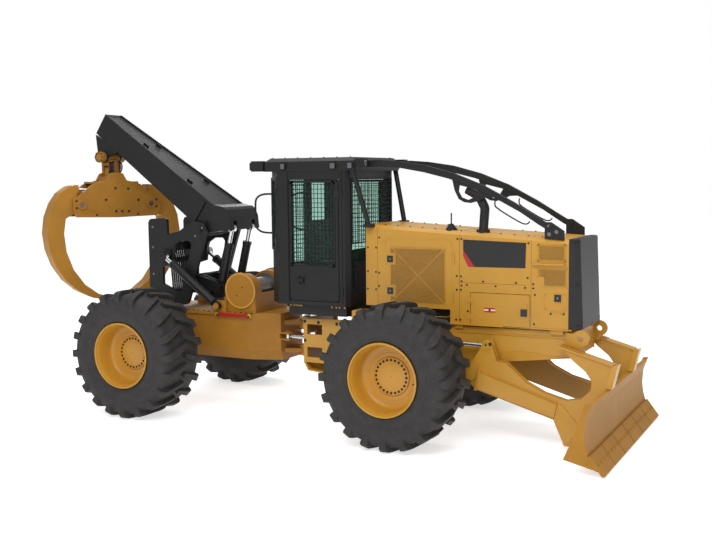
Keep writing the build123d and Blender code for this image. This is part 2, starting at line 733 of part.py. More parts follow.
def blade():
    back = [(x - 24, z) for x, z in reversed(blade_skin)]
    skin = side_profile(blade_skin + back, -blade_half_width, blade_half_width)
    top_x, top_z = blade_skin[-1]
    lip = side_profile([(top_x - 52, top_z - 28), (top_x - 10, top_z - 40), (top_x, top_z), (top_x - 42, top_z + 12)],
                       -blade_half_width, blade_half_width)
    skin += lip
    end = [(4166, 166)] + blade_skin + [(4478, 822), (4404, 812), (4290, 450)]
    for side in (-1, 1):
        y0 = min(side * blade_half_width, side * (blade_half_width - 30))
        skin += side_profile(end, y0, y0 + 30)
    rib = [(4385, 300), (4385, 340), (4250, 400), (4250, 240)]
    skin += side_profile(rib, -blade_half_width + 15, blade_half_width - 15)
    return skin


def cutting_edge():
    half = blade_half_width
    outline = [(4633, ground_gap), (4598, ground_gap), (4446, 226), (4468, 243)]
    return side_profile(outline, -half, half)


# Rear frame
def rear_outline(draw_in, wall):
    """The rear frame's plan, drawn in at its foot by draw_in and inside its plates by wall."""
    half = frame_half_width - draw_in - wall
    nose = 300 - draw_in - wall
    return [(-260 - wall, -nose), (-705, -half), (rear_end_x + wall, -half), (rear_end_x + wall, half),
            (-705, half), (-260 - wall, nose)]


def rear_box(wall, z0, z1):
    """A closed box with upright sides above rear_chamfer and sloping sides below it."""
    bend, draw_in = rear_chamfer
    foot = draw_in * (bend - z0) / (bend - rear_bottom)
    upper = plan_profile(rear_outline(0, wall), bend, z1)
    sections = [Plane.XY.offset(z) * make_face(Polyline(*rear_outline(inset, wall), close=True))
                for z, inset in ((z0, foot), (bend, 0))]
    return upper + loft(sections, ruled=True)


def rear_frame():
    shape = rear_box(0, rear_bottom, deck_level) - rear_box(plate, rear_bottom + plate, deck_level - deck_thickness)
    deck = [(-420, -330), (-760, -480), (rear_end_x, -480), (rear_end_x, 480), (-760, 480), (-420, 330)]
    shape += plan_profile(deck, deck_level - deck_thickness, deck_level)
    shape -= pin_across((-axle_x, tyre_radius), -600, 600, axle_tube_radius + seat_gap)
    shape -= pin_across((-axle_x, tyre_radius), -412, 412, axle_tube_radius + 20)
    shape -= block(-2260, -1580, -330, 330, rear_bottom - 1, rear_bottom + plate + 1)
    for level in hitch_levels:
        z0 = level - tongue_thickness / 2
        z1 = level + tongue_thickness / 2
        tongue = plan_profile([(0, -hitch_eye_radius + 5), (-262, -200), (-262, 200), (0, hitch_eye_radius - 5)],
                              z0, z1)
        tongue += upright((0, 0), z0, z1, hitch_eye_radius - 5)
        shape += tongue - upright((0, 0), z0 - 1, z1 + 1, hitch_pin_radius + pin_clearance)
    for sign in (-1, 1):
        for z in (steer_level - 45, steer_level + 45):
            x, y = steer_pin_rear
            ear = plan_profile([(x, sign * (y - 55)), (-262, sign * 180), (-262, sign * 299), (x, sign * (y + 55))],
                               z - 12, z + 12)
            ear += upright((x, sign * y), z - 12, z + 12, 55)
            shape += ear
        y0, y1 = sorted((sign * 190, sign * 350))
        shape -= block(-278, -259, y0, y1, steer_level - 33, steer_level + 33)
        shape += upright((steer_pin_rear[0], sign * steer_pin_rear[1]), steer_level + 57, steer_level + 70, 35)
        shape += upright((steer_pin_rear[0], sign * steer_pin_rear[1]), steer_level - 70, steer_level - 57, 35)
    arm = arch_outer_y - arch_plate - side_clearance
    ear = side_profile([(-2190, deck_level), (-1910, deck_level), (-1980, 1560), (-2050, 1600), (-2120, 1560)],
                       arm - 50, arm)
    pin = pin_across(arch_pivot, arm - 50, arch_outer_y + 12, arch_pin_radius)
    foot = block(-1270, -1070, 440, 470, deck_level, 1560)
    foot += block(-1270, -1070, 470, 480, deck_level, deck_level + 60)
    foot += pin_across(arch_cylinder_frame, 440, arch_cylinder_y + 45, arch_cylinder_pin)
    foot += pin_across(arch_cylinder_frame, arch_cylinder_y + 40, arch_cylinder_y + 52, 45)
    return shape + both_sides(ear + pin + foot)


def winch_housing():
    """Two cheeks with round covers, a gear box behind each and a cross wall in front of the drum."""
    x, z = winch_axis
    cheek = pin_across(winch_axis, 250, 425, winch_cover_radius - 22)
    cheek += pin_across(winch_axis, 424, 450, winch_cover_radius)
    cheek += block(x - 150, x + 240, 250, 425, deck_level, z)
    cheek += block(x - 290, x - 149, 250, 425, deck_level, 1610)
    shape = both_sides(cheek) + block(x - 230, x + 240, -250, 250, deck_level, deck_level + 40)
    shape += block(x + 208, x + 240, -250, 250, deck_level, z - 40)
    return shape + pin_across(winch_axis, -250, 250, 50)


def winch_drum():
    gap = side_clearance
    shape = pin_across(winch_axis, -250 + gap, 250 - gap, winch_drum_radius)
    shape += pin_across(winch_axis, -250 + gap, -250 + gap + 20, winch_flange_radius - 100)
    shape += pin_across(winch_axis, -225, -205, 200) + pin_across(winch_axis, 205, 225, 200)
    return shape - pin_across(winch_axis, -300, 300, 50 + pin_clearance)


def lock_bar():
    return both_sides(block(-1230, -640, 482, 510, 1340, 1385) + block(-1150, -1110, 480, 482, 1350, 1375))


def arch():
    outline = [(-2180, 1480), (-2300, 1560), (-2460, 1700), (-2464, 2660), (-2445, 2706), (-2400, 2724),
               (-2160, 2736), (-2120, 2715), (-2110, 2500), (-1900, 2545), (-1640, 2700), (-1450, 2670),
               (-1400, 2560), (-1480, 2330), (-1740, 1530), (-1770, 1480), (-1820, 1462)]
    window = [(-2020, 2240), (-1990, 2330), (-1880, 2400), (-1720, 2405), (-1680, 2360), (-1690, 2280),
              (-1880, 1650), (-1960, 1650), (-2210, 1760), (-2210, 2000), (-2040, 2050)]
    cheek = side_profile(outline, arch_outer_y - arch_plate, arch_outer_y)
    cheek -= side_profile(window, 300, 600)
    cheek += pin_across(arch_pivot, arch_outer_y - arch_plate, arch_outer_y, 88)
    cheek -= pin_across(arch_pivot, 300, 600, arch_pin_radius + pin_clearance)
    cheek += pin_across(boom_pivot, 360, arch_outer_y + 20, boom_pin_radius)
    pad = [(-2200, 2090), (-2110, 2090), (-2040, 2190), (-2040, 2270), (-2200, 2270)]
    cheek += side_profile(pad, arch_outer_y, arch_outer_y + 45)
    cheek += pin_across(arch_cylinder_arch, arch_outer_y, arch_cylinder_y - 40, 48)
    cheek += pin_across(arch_cylinder_arch, arch_cylinder_y + 40, arch_cylinder_y + 52, 66)
    cheek += pin_across(arch_cylinder_arch, arch_outer_y, arch_cylinder_y + 52, arch_cylinder_pin)
    lug = [(-1720, 1640), (-1330, 1690), (-1262, 1745), (-1330, 1800), (-1700, 1900)]
    ear = None
    for y in (boom_cylinder_y - 64, boom_cylinder_y + 34):
        plate_pair = side_profile(lug, y, y + 30)
        ear = plate_pair if ear is None else ear + plate_pair
    ear += pin_across(boom_cylinder_arch, boom_cylinder_y - 64, boom_cylinder_y + 64, boom_cylinder_pin)
    shape = both_sides(cheek + ear)
    inner = arch_outer_y - arch_plate
    shape += block(-1780, -1690, -inner, inner, 1640, 1900)
    shape += block(-2455, -2320, -inner, inner, 2220, 2350)
    return shape + block(-2290, -2200, -inner, inner, 1570, 1640)


def fairlead():
    shape = block(-2440, -2292, 300, arch_outer_y - arch_plate, 1720, 2100)
    shape = both_sides(shape) + block(-2440, -2292, -300, 300, 2040, 2100)
    return shape


def boom_section(place, depth, half, slope):
    """The boom's box section at place = (x, z) on its lower edge, square to its length."""
    seat = Plane(origin=(place[0], 0, place[1]), x_dir=(0, 1, 0), z_dir=(-cos(slope), 0, sin(slope)))
    return seat * Pos(0, -depth / 2) * Rectangle(2 * half, depth)


def boom_recess(place, depth, half, slope):
    """The shallow recess in the boom's top, between the lips of its side plates."""
    seat = Plane(origin=(place[0], 0, place[1]), x_dir=(0, 1, 0), z_dir=(-cos(slope), 0, sin(slope)))
    return seat * Pos(0, -depth) * Rectangle(2 * half - 48, 40)


boom_ends = [
    # place of the lower edge as (x, z), depth, half width
    ((-1560, 2578), 430, 380),
    ((hang_x - 100, link_pin_z + 376), 345, 190),
]
boom_line = [(-1705, 2679), (hang_x - 115, link_pin_z + 385)]


def boom():
    slope = atan2(boom_line[1][1] - boom_line[0][1], boom_line[0][0] - boom_line[1][0])
    root, tip = [boom_section(place, depth, half, slope) for place, depth, half in boom_ends]
    shape = loft([root, tip])
    shape -= loft([boom_recess(place, depth, half, slope) for place, depth, half in boom_ends])
    front = side_profile([(-1314, 2931), (-1562, 2575), (-1500, 2515), (-1200, 2560), (-1030, 2570),
                          (-1052, 2760), (-1098, 2862), (-1150, 2900)], -380, 380)
    shape += front
    place, depth, half = boom_ends[0]
    seat = Plane(origin=(place[0], 0, place[1]), x_dir=(0, 1, 0), z_dir=(-cos(slope), 0, sin(slope)))
    shape += both_sides(seat * Pos(half - 4, -depth / 2 + 25, 155) * Box(32, depth - 60, 28))
    boss = pin_across(boom_pivot, -394, 394, 95)
    shape += boss
    slot = block(-1250, -950, boom_cylinder_y - 42, boom_cylinder_y + 42, 2450, 2700)
    shape -= both_sides(slot)
    shape += both_sides(pin_across(boom_cylinder_boom, boom_cylinder_y - 60, boom_cylinder_y + 60,
                                   boom_cylinder_pin))
    shape -= pin_across(boom_pivot, 355, 500, boom_pin_radius + pin_clearance)
    shape -= pin_across(boom_pivot, -500, -355, boom_pin_radius + pin_clearance)
    lug = side_profile([(hang_x - 130, link_pin_z + 350), (hang_x - 90, link_pin_z - 20),
                        (hang_x + 90, link_pin_z - 20), (hang_x + 330, link_pin_z + 120)], 140, 170)
    lug += pin_across((hang_x, link_pin_z), 140, 170, 92)
    shape += both_sides(lug)
    return shape - pin_across((hang_x, link_pin_z), -200, 200, 45 + pin_clearance)


# Grapple
def in_grapple(shape):
    """Turns a shape drawn with u along X and n along -Y into the grapple's own heading."""
    return Pos(hang_x, 0, 0) * Rot(0, 0, grapple_turn) * shape


def swing_link():
    pin_z = link_pin_z
    shape = pin_across((hang_x, pin_z), -134, 134, 85)
    shape += pin_across((hang_x, pin_z), -260, 260, 45)
    shape += both_sides(pin_across((hang_x, pin_z), 176, 260, 85))
    shape += block(hang_x - 110, hang_x + 110, -80, 80, cross_pin_z + 75, pin_z - 40)
    for x in (hang_x - 110, hang_x + 70):
        shape += block(x, x + 40, -80, 80, cross_pin_z - 10, cross_pin_z + 76)
        shape += Pos(x + 20, 0, cross_pin_z) * Rot(0, 90, 0) * Cylinder(80, 40)
    return shape + Pos(hang_x, 0, cross_pin_z) * Rot(0, 90, 0) * Cylinder(35, 220)


def crosshead():
    bore = Pos(hang_x, 0, cross_pin_z) * Rot(0, 90, 0) * Cylinder(35 + pin_clearance, 300)
    shape = Pos(hang_x, 0, cross_pin_z) * Rot(0, 90, 0) * Cylinder(68, 128)
    shape += block(hang_x - 64, hang_x + 64, -68, 68, turntable_z + 10, cross_pin_z)
    shape += upright((hang_x, 0), turntable_z, turntable_z + 28, 170)
    shape += upright((hang_x, 0), 3200, turntable_z, 60)
    return shape - bore


def grapple_head():
    half = [(-66, 3420), (-108, 3400), (-160, 3300), (-380, 3240), (-590, 3070), (-690, 3020), (-690, 2840),
            (-640, 2740), (0, 2722)]
    outline = half + [(-u, z) for u, z in reversed(half[:-1])]
    plate_pair = side_profile(outline, head_half_width - head_plate, head_half_width)
    plate_pair = both_sides(plate_pair)
    inner = head_half_width - head_plate
    top = block(-370, 370, -inner, inner, 3250, 3280)
    ring = upright((0, 0), 3280, turntable_z - 1, 190)
    shape = plate_pair + top + ring - upright((0, 0), 3190, 3340, 60 + pin_clearance)
    shape += block(-40, 40, -inner, inner, 2740, 2770)
    shape += block(-282, 282, -10, 10, 3060, 3199)
    for sign in (-1, 1):
        shape += pin_across((sign * tong_pin[0], tong_pin[1]), -head_half_width - 14, head_half_width + 14,
                            tong_pin_radius)
        y0, y1 = sorted((0, sign * inner))
        shape += pin_across((-sign * tong_cylinder_base[0], tong_cylinder_base[1]), y0, y1, tong_cylinder_pin)
    return in_grapple(shape)


def tong_shape(sign):
    """One curved tong of box section; sign is -1 for the left one and +1 for the right one."""
    outer = [(-560, 3235), (-700, 3215), (-850, 3110), (-960, 2950), (-1040, 2740), (-1072, 2500), (-1040, 2240),
             (-950, 1990), (-800, 1760), (-600, 1585), (-380, 1470), (-8, 1400)]
    inner = [(-8, 1435), (-300, 1530), (-510, 1690), (-680, 1930), (-780, 2210), (-810, 2490), (-775, 2720),
             (-640, 2800)]
    outline = [(-sign * u, z) if sign > 0 else (u, z) for u, z in outer + inner]
    shape = side_profile(outline, -tong_half_width, tong_half_width)
    pin = (sign * tong_pin[0], tong_pin[1])
    lever = (sign * tong_lever[0], tong_lever[1])
    shape += pin_across(pin, -tong_half_width, tong_half_width, 105)
    shape += pin_across(lever, -tong_half_width, tong_half_width, 68)
    middle = sign * tong_cylinder_n
    near, far = sorted((lever[0] - sign * 400, lever[0] + sign * 95))
    shape -= block(near, far, middle - 36, middle + 36, tong_pin[1] + 106, 3300)
    shape -= pin_across(pin, -300, 300, tong_pin_radius + pin_clearance)
    return shape + pin_across(lever, middle - 50, middle + 50, tong_cylinder_pin)


def tong_cylinders(sign):
    lever = (sign * tong_lever[0], tong_lever[1])
    base = (-sign * tong_cylinder_base[0], tong_cylinder_base[1])
    return cylinder_pair(base, lever, sign * tong_cylinder_n, 56, 48, 26, tong_cylinder_pin, tong_eye_play, 240, 0.62)


def grapple():
    keep(swing_link(), "swing_link")
    keep(crosshead(), "crosshead")
    keep(grapple_head(), "grapple_head")
    for name, sign in (("left", -1), ("right", 1)):
        keep(in_grapple(tong_shape(sign)), "tong_" + name)
        barrel, rod = tong_cylinders(sign)
        keep(in_grapple(barrel), "tong_barrel_" + name)
        keep(in_grapple(rod), "tong_rod_" + name)


def flat_cylinder_pair(base, rod_end, z, *sizes):
    """A cylinder that lies level; its pins are upright and given as (x, y)."""
    barrel, rod = cylinder_pair(base, rod_end, 0, *sizes)
    lay = Pos(0, 0, z) * Rot(-90, 0, 0)
    return lay * barrel, lay * rod


def cylinders():
    upright_pairs = [
        # node, base pin, rod pin, y, eye width, barrel, rod, pin, play, closing, share of length
        ("blade_lift", lift_pin_frame, lift_pin_arm, 590, 48, 55, 23, lift_pin_radius, 9, 170, 0.62),
        ("arch", arch_cylinder_frame, arch_cylinder_arch, arch_cylinder_y, 66, 62, 32, arch_cylinder_pin, 18, 76, 0.85),
        ("boom", boom_cylinder_arch, boom_cylinder_boom, boom_cylinder_y, 56, 62, 32, boom_cylinder_pin, 16, 26, 0.74),
    ]
    for node, base, end, y, *sizes in upright_pairs:
        barrel, rod = cylinder_pair(base, end, y, *sizes)
        keep(both_sides(barrel), node + "_barrels")
        keep(both_sides(rod), node + "_rods")
    for name, sign in (("left", 1), ("right", -1)):
        base = (steer_pin_front[0], sign * steer_pin_front[1])
        end = (steer_pin_rear[0], sign * steer_pin_rear[1])
        barrel, rod = flat_cylinder_pair(base, end, steer_level, 54, 42, 24, steer_pin_radius, 0, 205, 0.66)
        keep(barrel, "steering_barrel_" + name)
        keep(rod, "steering_rod_" + name)


def front_half():
    keep_group(front_frame(), "front_frame")
    keep(axle(axle_x), "front_axle")
    keep(engine_block(), "engine_block")
    keep_group(hood_panels(), "hood")
    keep(hood_grilles(), "hood_grilles")
    keep(front_guard(), "front_guard")
    keep(cab_shell(), "cab_shell")
    keep(cab_glass(), "cab_glass")
    keep(cab_roof(), "cab_roof")
    keep(seat_frame(), "seat_frame")
    keep(seat_cushion() + seat_back(), "seat_pads")
    keep(consoles(), "control_consoles")
    keep(limb_risers(), "limb_risers")
    keep(exhaust_stack(), "exhaust_stack")
    keep(precleaner(), "precleaner")
    keep(roof_lamps(), "roof_lamps")
    for name, turned in (("left", False), ("right", True)):
        for node, shape in (("cab_door_", door_panel()), ("door_glass_", door_glass()),
                            ("service_door_", service_panel())):
            keep(mirror(shape, Plane.XZ) if turned else shape, node + name)
    keep(push_frame(), "push_frame")
    keep(blade(), "blade")
    keep(cutting_edge(), "cutting_edge")


def rear_half():
    keep(rear_frame(), "rear_frame")
    keep(axle(-axle_x), "rear_axle")
    keep(winch_housing(), "winch_housing")
    keep(winch_drum(), "winch_drum")
    keep(lock_bar(), "steering_lock_bars")
    keep(arch(), "arch")
    keep(fairlead(), "fairlead")
    keep(boom(), "boom")


wheels()
front_half()
rear_half()
cylinders()
grapple()
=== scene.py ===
import bpy
import bmesh
import json
from math import cos, hypot, pi, radians, sin, tau
from mathutils import Matrix, Vector


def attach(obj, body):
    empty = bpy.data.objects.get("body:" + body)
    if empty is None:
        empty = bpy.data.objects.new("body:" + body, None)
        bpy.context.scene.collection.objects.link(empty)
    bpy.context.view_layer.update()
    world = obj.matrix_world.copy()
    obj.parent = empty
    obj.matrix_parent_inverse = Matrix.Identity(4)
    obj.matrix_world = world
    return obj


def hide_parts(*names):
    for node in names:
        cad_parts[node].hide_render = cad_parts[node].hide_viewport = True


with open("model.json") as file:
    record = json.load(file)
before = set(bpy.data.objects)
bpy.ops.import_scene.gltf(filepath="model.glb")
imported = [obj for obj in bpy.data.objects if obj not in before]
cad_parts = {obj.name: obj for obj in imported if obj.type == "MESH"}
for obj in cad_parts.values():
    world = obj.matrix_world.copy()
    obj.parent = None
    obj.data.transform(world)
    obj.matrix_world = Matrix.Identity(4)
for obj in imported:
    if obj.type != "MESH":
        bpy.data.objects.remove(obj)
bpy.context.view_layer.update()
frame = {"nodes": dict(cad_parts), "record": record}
nodes = frame["nodes"]

# Sizes are in millimetres from the machine's centre joint, as in the part's source, except where a
# comment says metres.
SHIFT = -208.5
# The machine's right is -1 and its left is 1.
machine_sides = ((-1, "right"), (1, "left"))


def point(x, y, z):
    """A place of the machine, in metres in the frame."""
    return Vector(((x + SHIFT) / 1000.0, y / 1000.0, z / 1000.0))


def placed(name, data):
    """A new object in the scene."""
    obj = bpy.data.objects.new(name, data)
    bpy.context.scene.collection.objects.link(obj)
    return obj


# Camera, solved from the photograph: focal length in its pixels, place in metres and two directions
focal_px = 987.385
photo_width_px = 712.0
camera_x, camera_y, camera_z = 7.09705, -12.10355, 3.30091
right = Vector((0.88734, 0.46100, -0.01000)).normalized()
ahead = Vector((-0.45995, 0.88337, -0.09000)).normalized()
lens_data = bpy.data.cameras.new("camera")
lens_data.sensor_fit = "HORIZONTAL"
lens_data.sensor_width = 36.0
lens_data.lens = focal_px / photo_width_px * 36.0
lens_data.clip_end = 200.0
camera = placed("camera", lens_data)
stance = Matrix((right, right.cross(ahead).normalized(), -ahead)).transposed().to_4x4()
stance.translation = Vector((camera_x + SHIFT / 1000.0, camera_y, camera_z))
camera.matrix_world = stance
bpy.context.scene.camera = camera
bpy.context.scene.view_settings.view_transform = "Standard"


# Materials
def new_material(name):
    """A node material with its nodes, links and main shader."""
    material = bpy.data.materials.new(name)
    material.use_nodes = True
    kit = material.node_tree.nodes
    return material, kit, material.node_tree.links, kit["Principled BSDF"]


def rgb(r, g, b):
    """sRGB numbers of 0 to 255 as a linear colour."""
    out = []
    for v in (r, g, b):
        v /= 255.0
        out.append(v / 12.92 if v <= 0.04045 else ((v + 0.055) / 1.055) ** 2.4)
    return (*out, 1.0)


def noise(kit, links, where, scale, detail=2.0, roughness=0.5):
    """Noise in the piece's own coordinates."""
    texture = kit.new("ShaderNodeTexNoise")
    texture.inputs["Scale"].default_value = scale
    texture.inputs["Detail"].default_value = detail
    texture.inputs["Roughness"].default_value = roughness
    links.new(where.outputs["Object"], texture.inputs["Vector"])
    return texture


def remap(kit, links, source, low, high):
    """The source's 0 to 1 as low to high."""
    span = kit.new("ShaderNodeMapRange")
    span.inputs["To Min"].default_value = low
    span.inputs["To Max"].default_value = high
    links.new(source, span.inputs["Value"])
    return span


def coloured(kit, links, source, *stops):
    """A colour ramp over the source, each stop a position and a colour."""
    ramp = kit.new("ShaderNodeValToRGB")
    for element, (position, colour) in zip(ramp.color_ramp.elements, stops):
        element.position = position
        element.color = colour
    links.new(source, ramp.inputs["Fac"])
    return ramp


def add_relief(kit, links, shader, source, distance, strength=1.0):
    """Fine relief from the source's value."""
    relief = kit.new("ShaderNodeBump")
    relief.inputs["Strength"].default_value = strength
    relief.inputs["Distance"].default_value = distance
    links.new(source, relief.inputs["Height"])
    links.new(relief.outputs["Normal"], shader.inputs["Normal"])


def painted(name, clean, worn, dust, rough, metallic=0.0, fine=160.0, bump=0.0006, coat=0.0, dirt=0.35,
            gleam=0.5):
    """Enamel with slow colour drift, faint dust in patches, orange peel and uneven gloss."""
    material, kit, links, shader = new_material(name)
    where = kit.new("ShaderNodeTexCoord")
    slow = noise(kit, links, where, 2.2, 5.0, 0.6)
    ramp = coloured(kit, links, slow.outputs["Fac"], (0.32, rgb(*clean)), (0.78, rgb(*worn)))
    speck = noise(kit, links, where, 38.0, 8.0, 0.75)
    patch = remap(kit, links, speck.outputs["Fac"], 0.0, dirt)
    patch.inputs["From Min"].default_value = 0.52
    patch.inputs["From Max"].default_value = 0.78
    mix = kit.new("ShaderNodeMix")
    mix.data_type = "RGBA"
    links.new(patch.outputs["Result"], mix.inputs["Factor"])
    links.new(ramp.outputs["Color"], mix.inputs["A"])
    mix.inputs["B"].default_value = rgb(*dust)
    links.new(mix.outputs["Result"], shader.inputs["Base Color"])
    gloss = remap(kit, links, speck.outputs["Fac"], rough - 0.07, rough + 0.16)
    links.new(gloss.outputs["Result"], shader.inputs["Roughness"])
    peel = noise(kit, links, where, fine, 3.0)
    add_relief(kit, links, shader, peel.outputs["Fac"], bump, 0.25)
    shader.inputs["Metallic"].default_value = metallic
    shader.inputs["Specular IOR Level"].default_value = gleam
    shader.inputs["Coat Weight"].default_value = coat
    shader.inputs["Coat Roughness"].default_value = 0.2
    return material


def rubber_material():
    """Black rubber with grime."""
    material, kit, links, shader = new_material("tyre_rubber")
    where = kit.new("ShaderNodeTexCoord")
    grime = noise(kit, links, where, 7.0, 9.0, 0.7)
    ramp = coloured(kit, links, grime.outputs["Fac"], (0.35, rgb(38, 36, 36)), (0.75, rgb(57, 55, 54)))
    links.new(ramp.outputs["Color"], shader.inputs["Base Color"])
    shader.inputs["Roughness"].default_value = 0.72
    grain = noise(kit, links, where, 120.0, 6.0)
    add_relief(kit, links, shader, grain.outputs["Fac"], 0.0015, 0.5)
    return material


def glass_material():
    """Pale green glass that tints what lies behind it."""
    material, kit, links, shader = new_material("window_glass")
    where = kit.new("ShaderNodeTexCoord")
    haze = noise(kit, links, where, 4.0)
    rough = remap(kit, links, haze.outputs["Fac"], 0.02, 0.10)
    links.new(rough.outputs["Result"], shader.inputs["Roughness"])
    shader.inputs["Base Color"].default_value = rgb(120, 150, 140)
    shader.inputs["Alpha"].default_value = 0.16
    shader.inputs["Specular IOR Level"].default_value = 0.8
    clear = kit.new("ShaderNodeBsdfTransparent")
    clear.inputs["Color"].default_value = rgb(206, 236, 226)
    blend = kit.new("ShaderNodeMixShader")
    blend.inputs["Fac"].default_value = 0.5
    links.new(clear.outputs["BSDF"], blend.inputs[1])
    links.new(shader.outputs["BSDF"], blend.inputs[2])
    links.new(blend.outputs["Shader"], kit["Material Output"].inputs["Surface"])
    return material


def fabric_material():
    """Cloth of crossed threads."""
    material, kit, links, shader = new_material("seat_fabric")
    where = kit.new("ShaderNodeTexCoord")
    weave = kit.new("ShaderNodeMath")
    weave.operation = "MULTIPLY"
    for number, direction in enumerate("YZ"):
        threads = kit.new("ShaderNodeTexWave")
        threads.inputs["Scale"].default_value = 260.0
        threads.bands_direction = direction
        links.new(where.outputs["Object"], threads.inputs["Vector"])
        links.new(threads.outputs["Fac"], weave.inputs[number])
    ramp = coloured(kit, links, weave.outputs["Value"], (0.0, rgb(38, 38, 40)), (1.0, rgb(70, 70, 74)))
    links.new(ramp.outputs["Color"], shader.inputs["Base Color"])
    shader.inputs["Roughness"].default_value = 0.9
    shader.inputs["Sheen Weight"].default_value = 0.3
    add_relief(kit, links, shader, weave.outputs["Value"], 0.0008)
    return material


yellow = painted("yellow_enamel", (206, 152, 50), (196, 143, 46), (178, 130, 54), 0.36, coat=0.15, dirt=0.25)
# A darker copy of the yellow enamel: its darker colour is painted shade, for parts that lie in shadow; its
# coarser relief and heavier dust are texture.
yellow_shaded = painted("yellow_painted_shade", (178, 124, 42), (158, 108, 38), (132, 94, 44), 0.45, bump=0.0012,
                      fine=90.0, dirt=0.45, gleam=0.3)
yellow_worn = painted("yellow_worn", (186, 132, 46), (168, 118, 44), (142, 106, 58), 0.5, bump=0.0012,
                      dirt=0.4, gleam=0.25)
black = painted("black_enamel", (24, 24, 25), (31, 31, 32), (44, 43, 42), 0.4, dirt=0.22, gleam=0.32)
black_matt = painted("black_matt", (22, 22, 23), (30, 30, 31), (42, 41, 40), 0.6, dirt=0.25, gleam=0.3)
iron = painted("dull_iron", (58, 56, 54), (44, 42, 41), (80, 70, 60), 0.55, metallic=0.5)
steel = painted("bare_steel", (140, 138, 134), (112, 108, 102), (92, 84, 74), 0.38, metallic=0.9)
chrome = painted("hard_chrome", (205, 206, 208), (188, 189, 192), (170, 170, 170), 0.16, metallic=1.0,
                 dirt=0.15, bump=0.0001)
red = painted("red_enamel", (190, 32, 30), (168, 28, 26), (140, 40, 36), 0.35, coat=0.2)
white = painted("white_plate", (232, 232, 230), (222, 222, 220), (205, 203, 198), 0.4)
plate_black = painted("plate_black", (22, 22, 23), (28, 28, 29), (38, 38, 38), 0.25, dirt=0.15)
hose_black = painted("hose_black", (22, 22, 22), (30, 29, 29), (44, 42, 40), 0.6, bump=0.0008)
brass = painted("gold_fitting", (196, 158, 84), (170, 134, 66), (120, 100, 62), 0.35, metallic=0.8)
# A dark yellow for the sheets set just behind the grille wires: painted shade for the depth behind the mesh.
grille_shade_sheet = painted("grille_painted_shade", (128, 90, 40), (116, 80, 36), (92, 64, 32), 0.6)
guard_grey = painted("guard_grey", (38, 37, 37), (44, 43, 43), (54, 53, 52), 0.42, dirt=0.25, gleam=0.32)
warning = painted("marker_yellow", (216, 198, 40), (196, 178, 40), (150, 138, 50), 0.4)
lens = painted("lamp_lens", (96, 100, 104), (84, 88, 92), (120, 120, 120), 0.12, dirt=0.1, coat=0.5)
rubber = rubber_material()
glass = glass_material()
fabric = fabric_material()

slot_material = {
    "yellow_paint": yellow, "black_paint": black, "red_paint": red, "dark_iron": iron, "bare_steel": steel,
    "bright_rod": chrome, "tyre_rubber": rubber, "window_glass": glass, "seat_fabric": fabric,
    "dark_plastic": black_matt,
}
slot_of = {s["node"]: s["material_slot"] for s in frame["record"]["subparts"]}
body_of = {n: b for b, ns in frame["record"]["behaviour"]["bodies"].items() for n in ns}


# Mesh tools
def smooth_path(points, steps=6):
    """Points on a curve through the given points."""
    pts = [Vector(p) for p in points]
    if len(pts) < 3:
        return pts
    out = []
    for i in range(len(pts) - 1):
        a = pts[max(i - 1, 0)]
        b = pts[i]
        c = pts[i + 1]
        d = pts[min(i + 2, len(pts) - 1)]
        for k in range(steps):
            t = k / steps
            out.append(0.5 * ((2 * b) + (c - a) * t + (2 * a - 5 * b + 4 * c - d) * t * t
                              + (3 * b - a - 3 * c + d) * t ** 3))
    out.append(pts[-1])
    return out


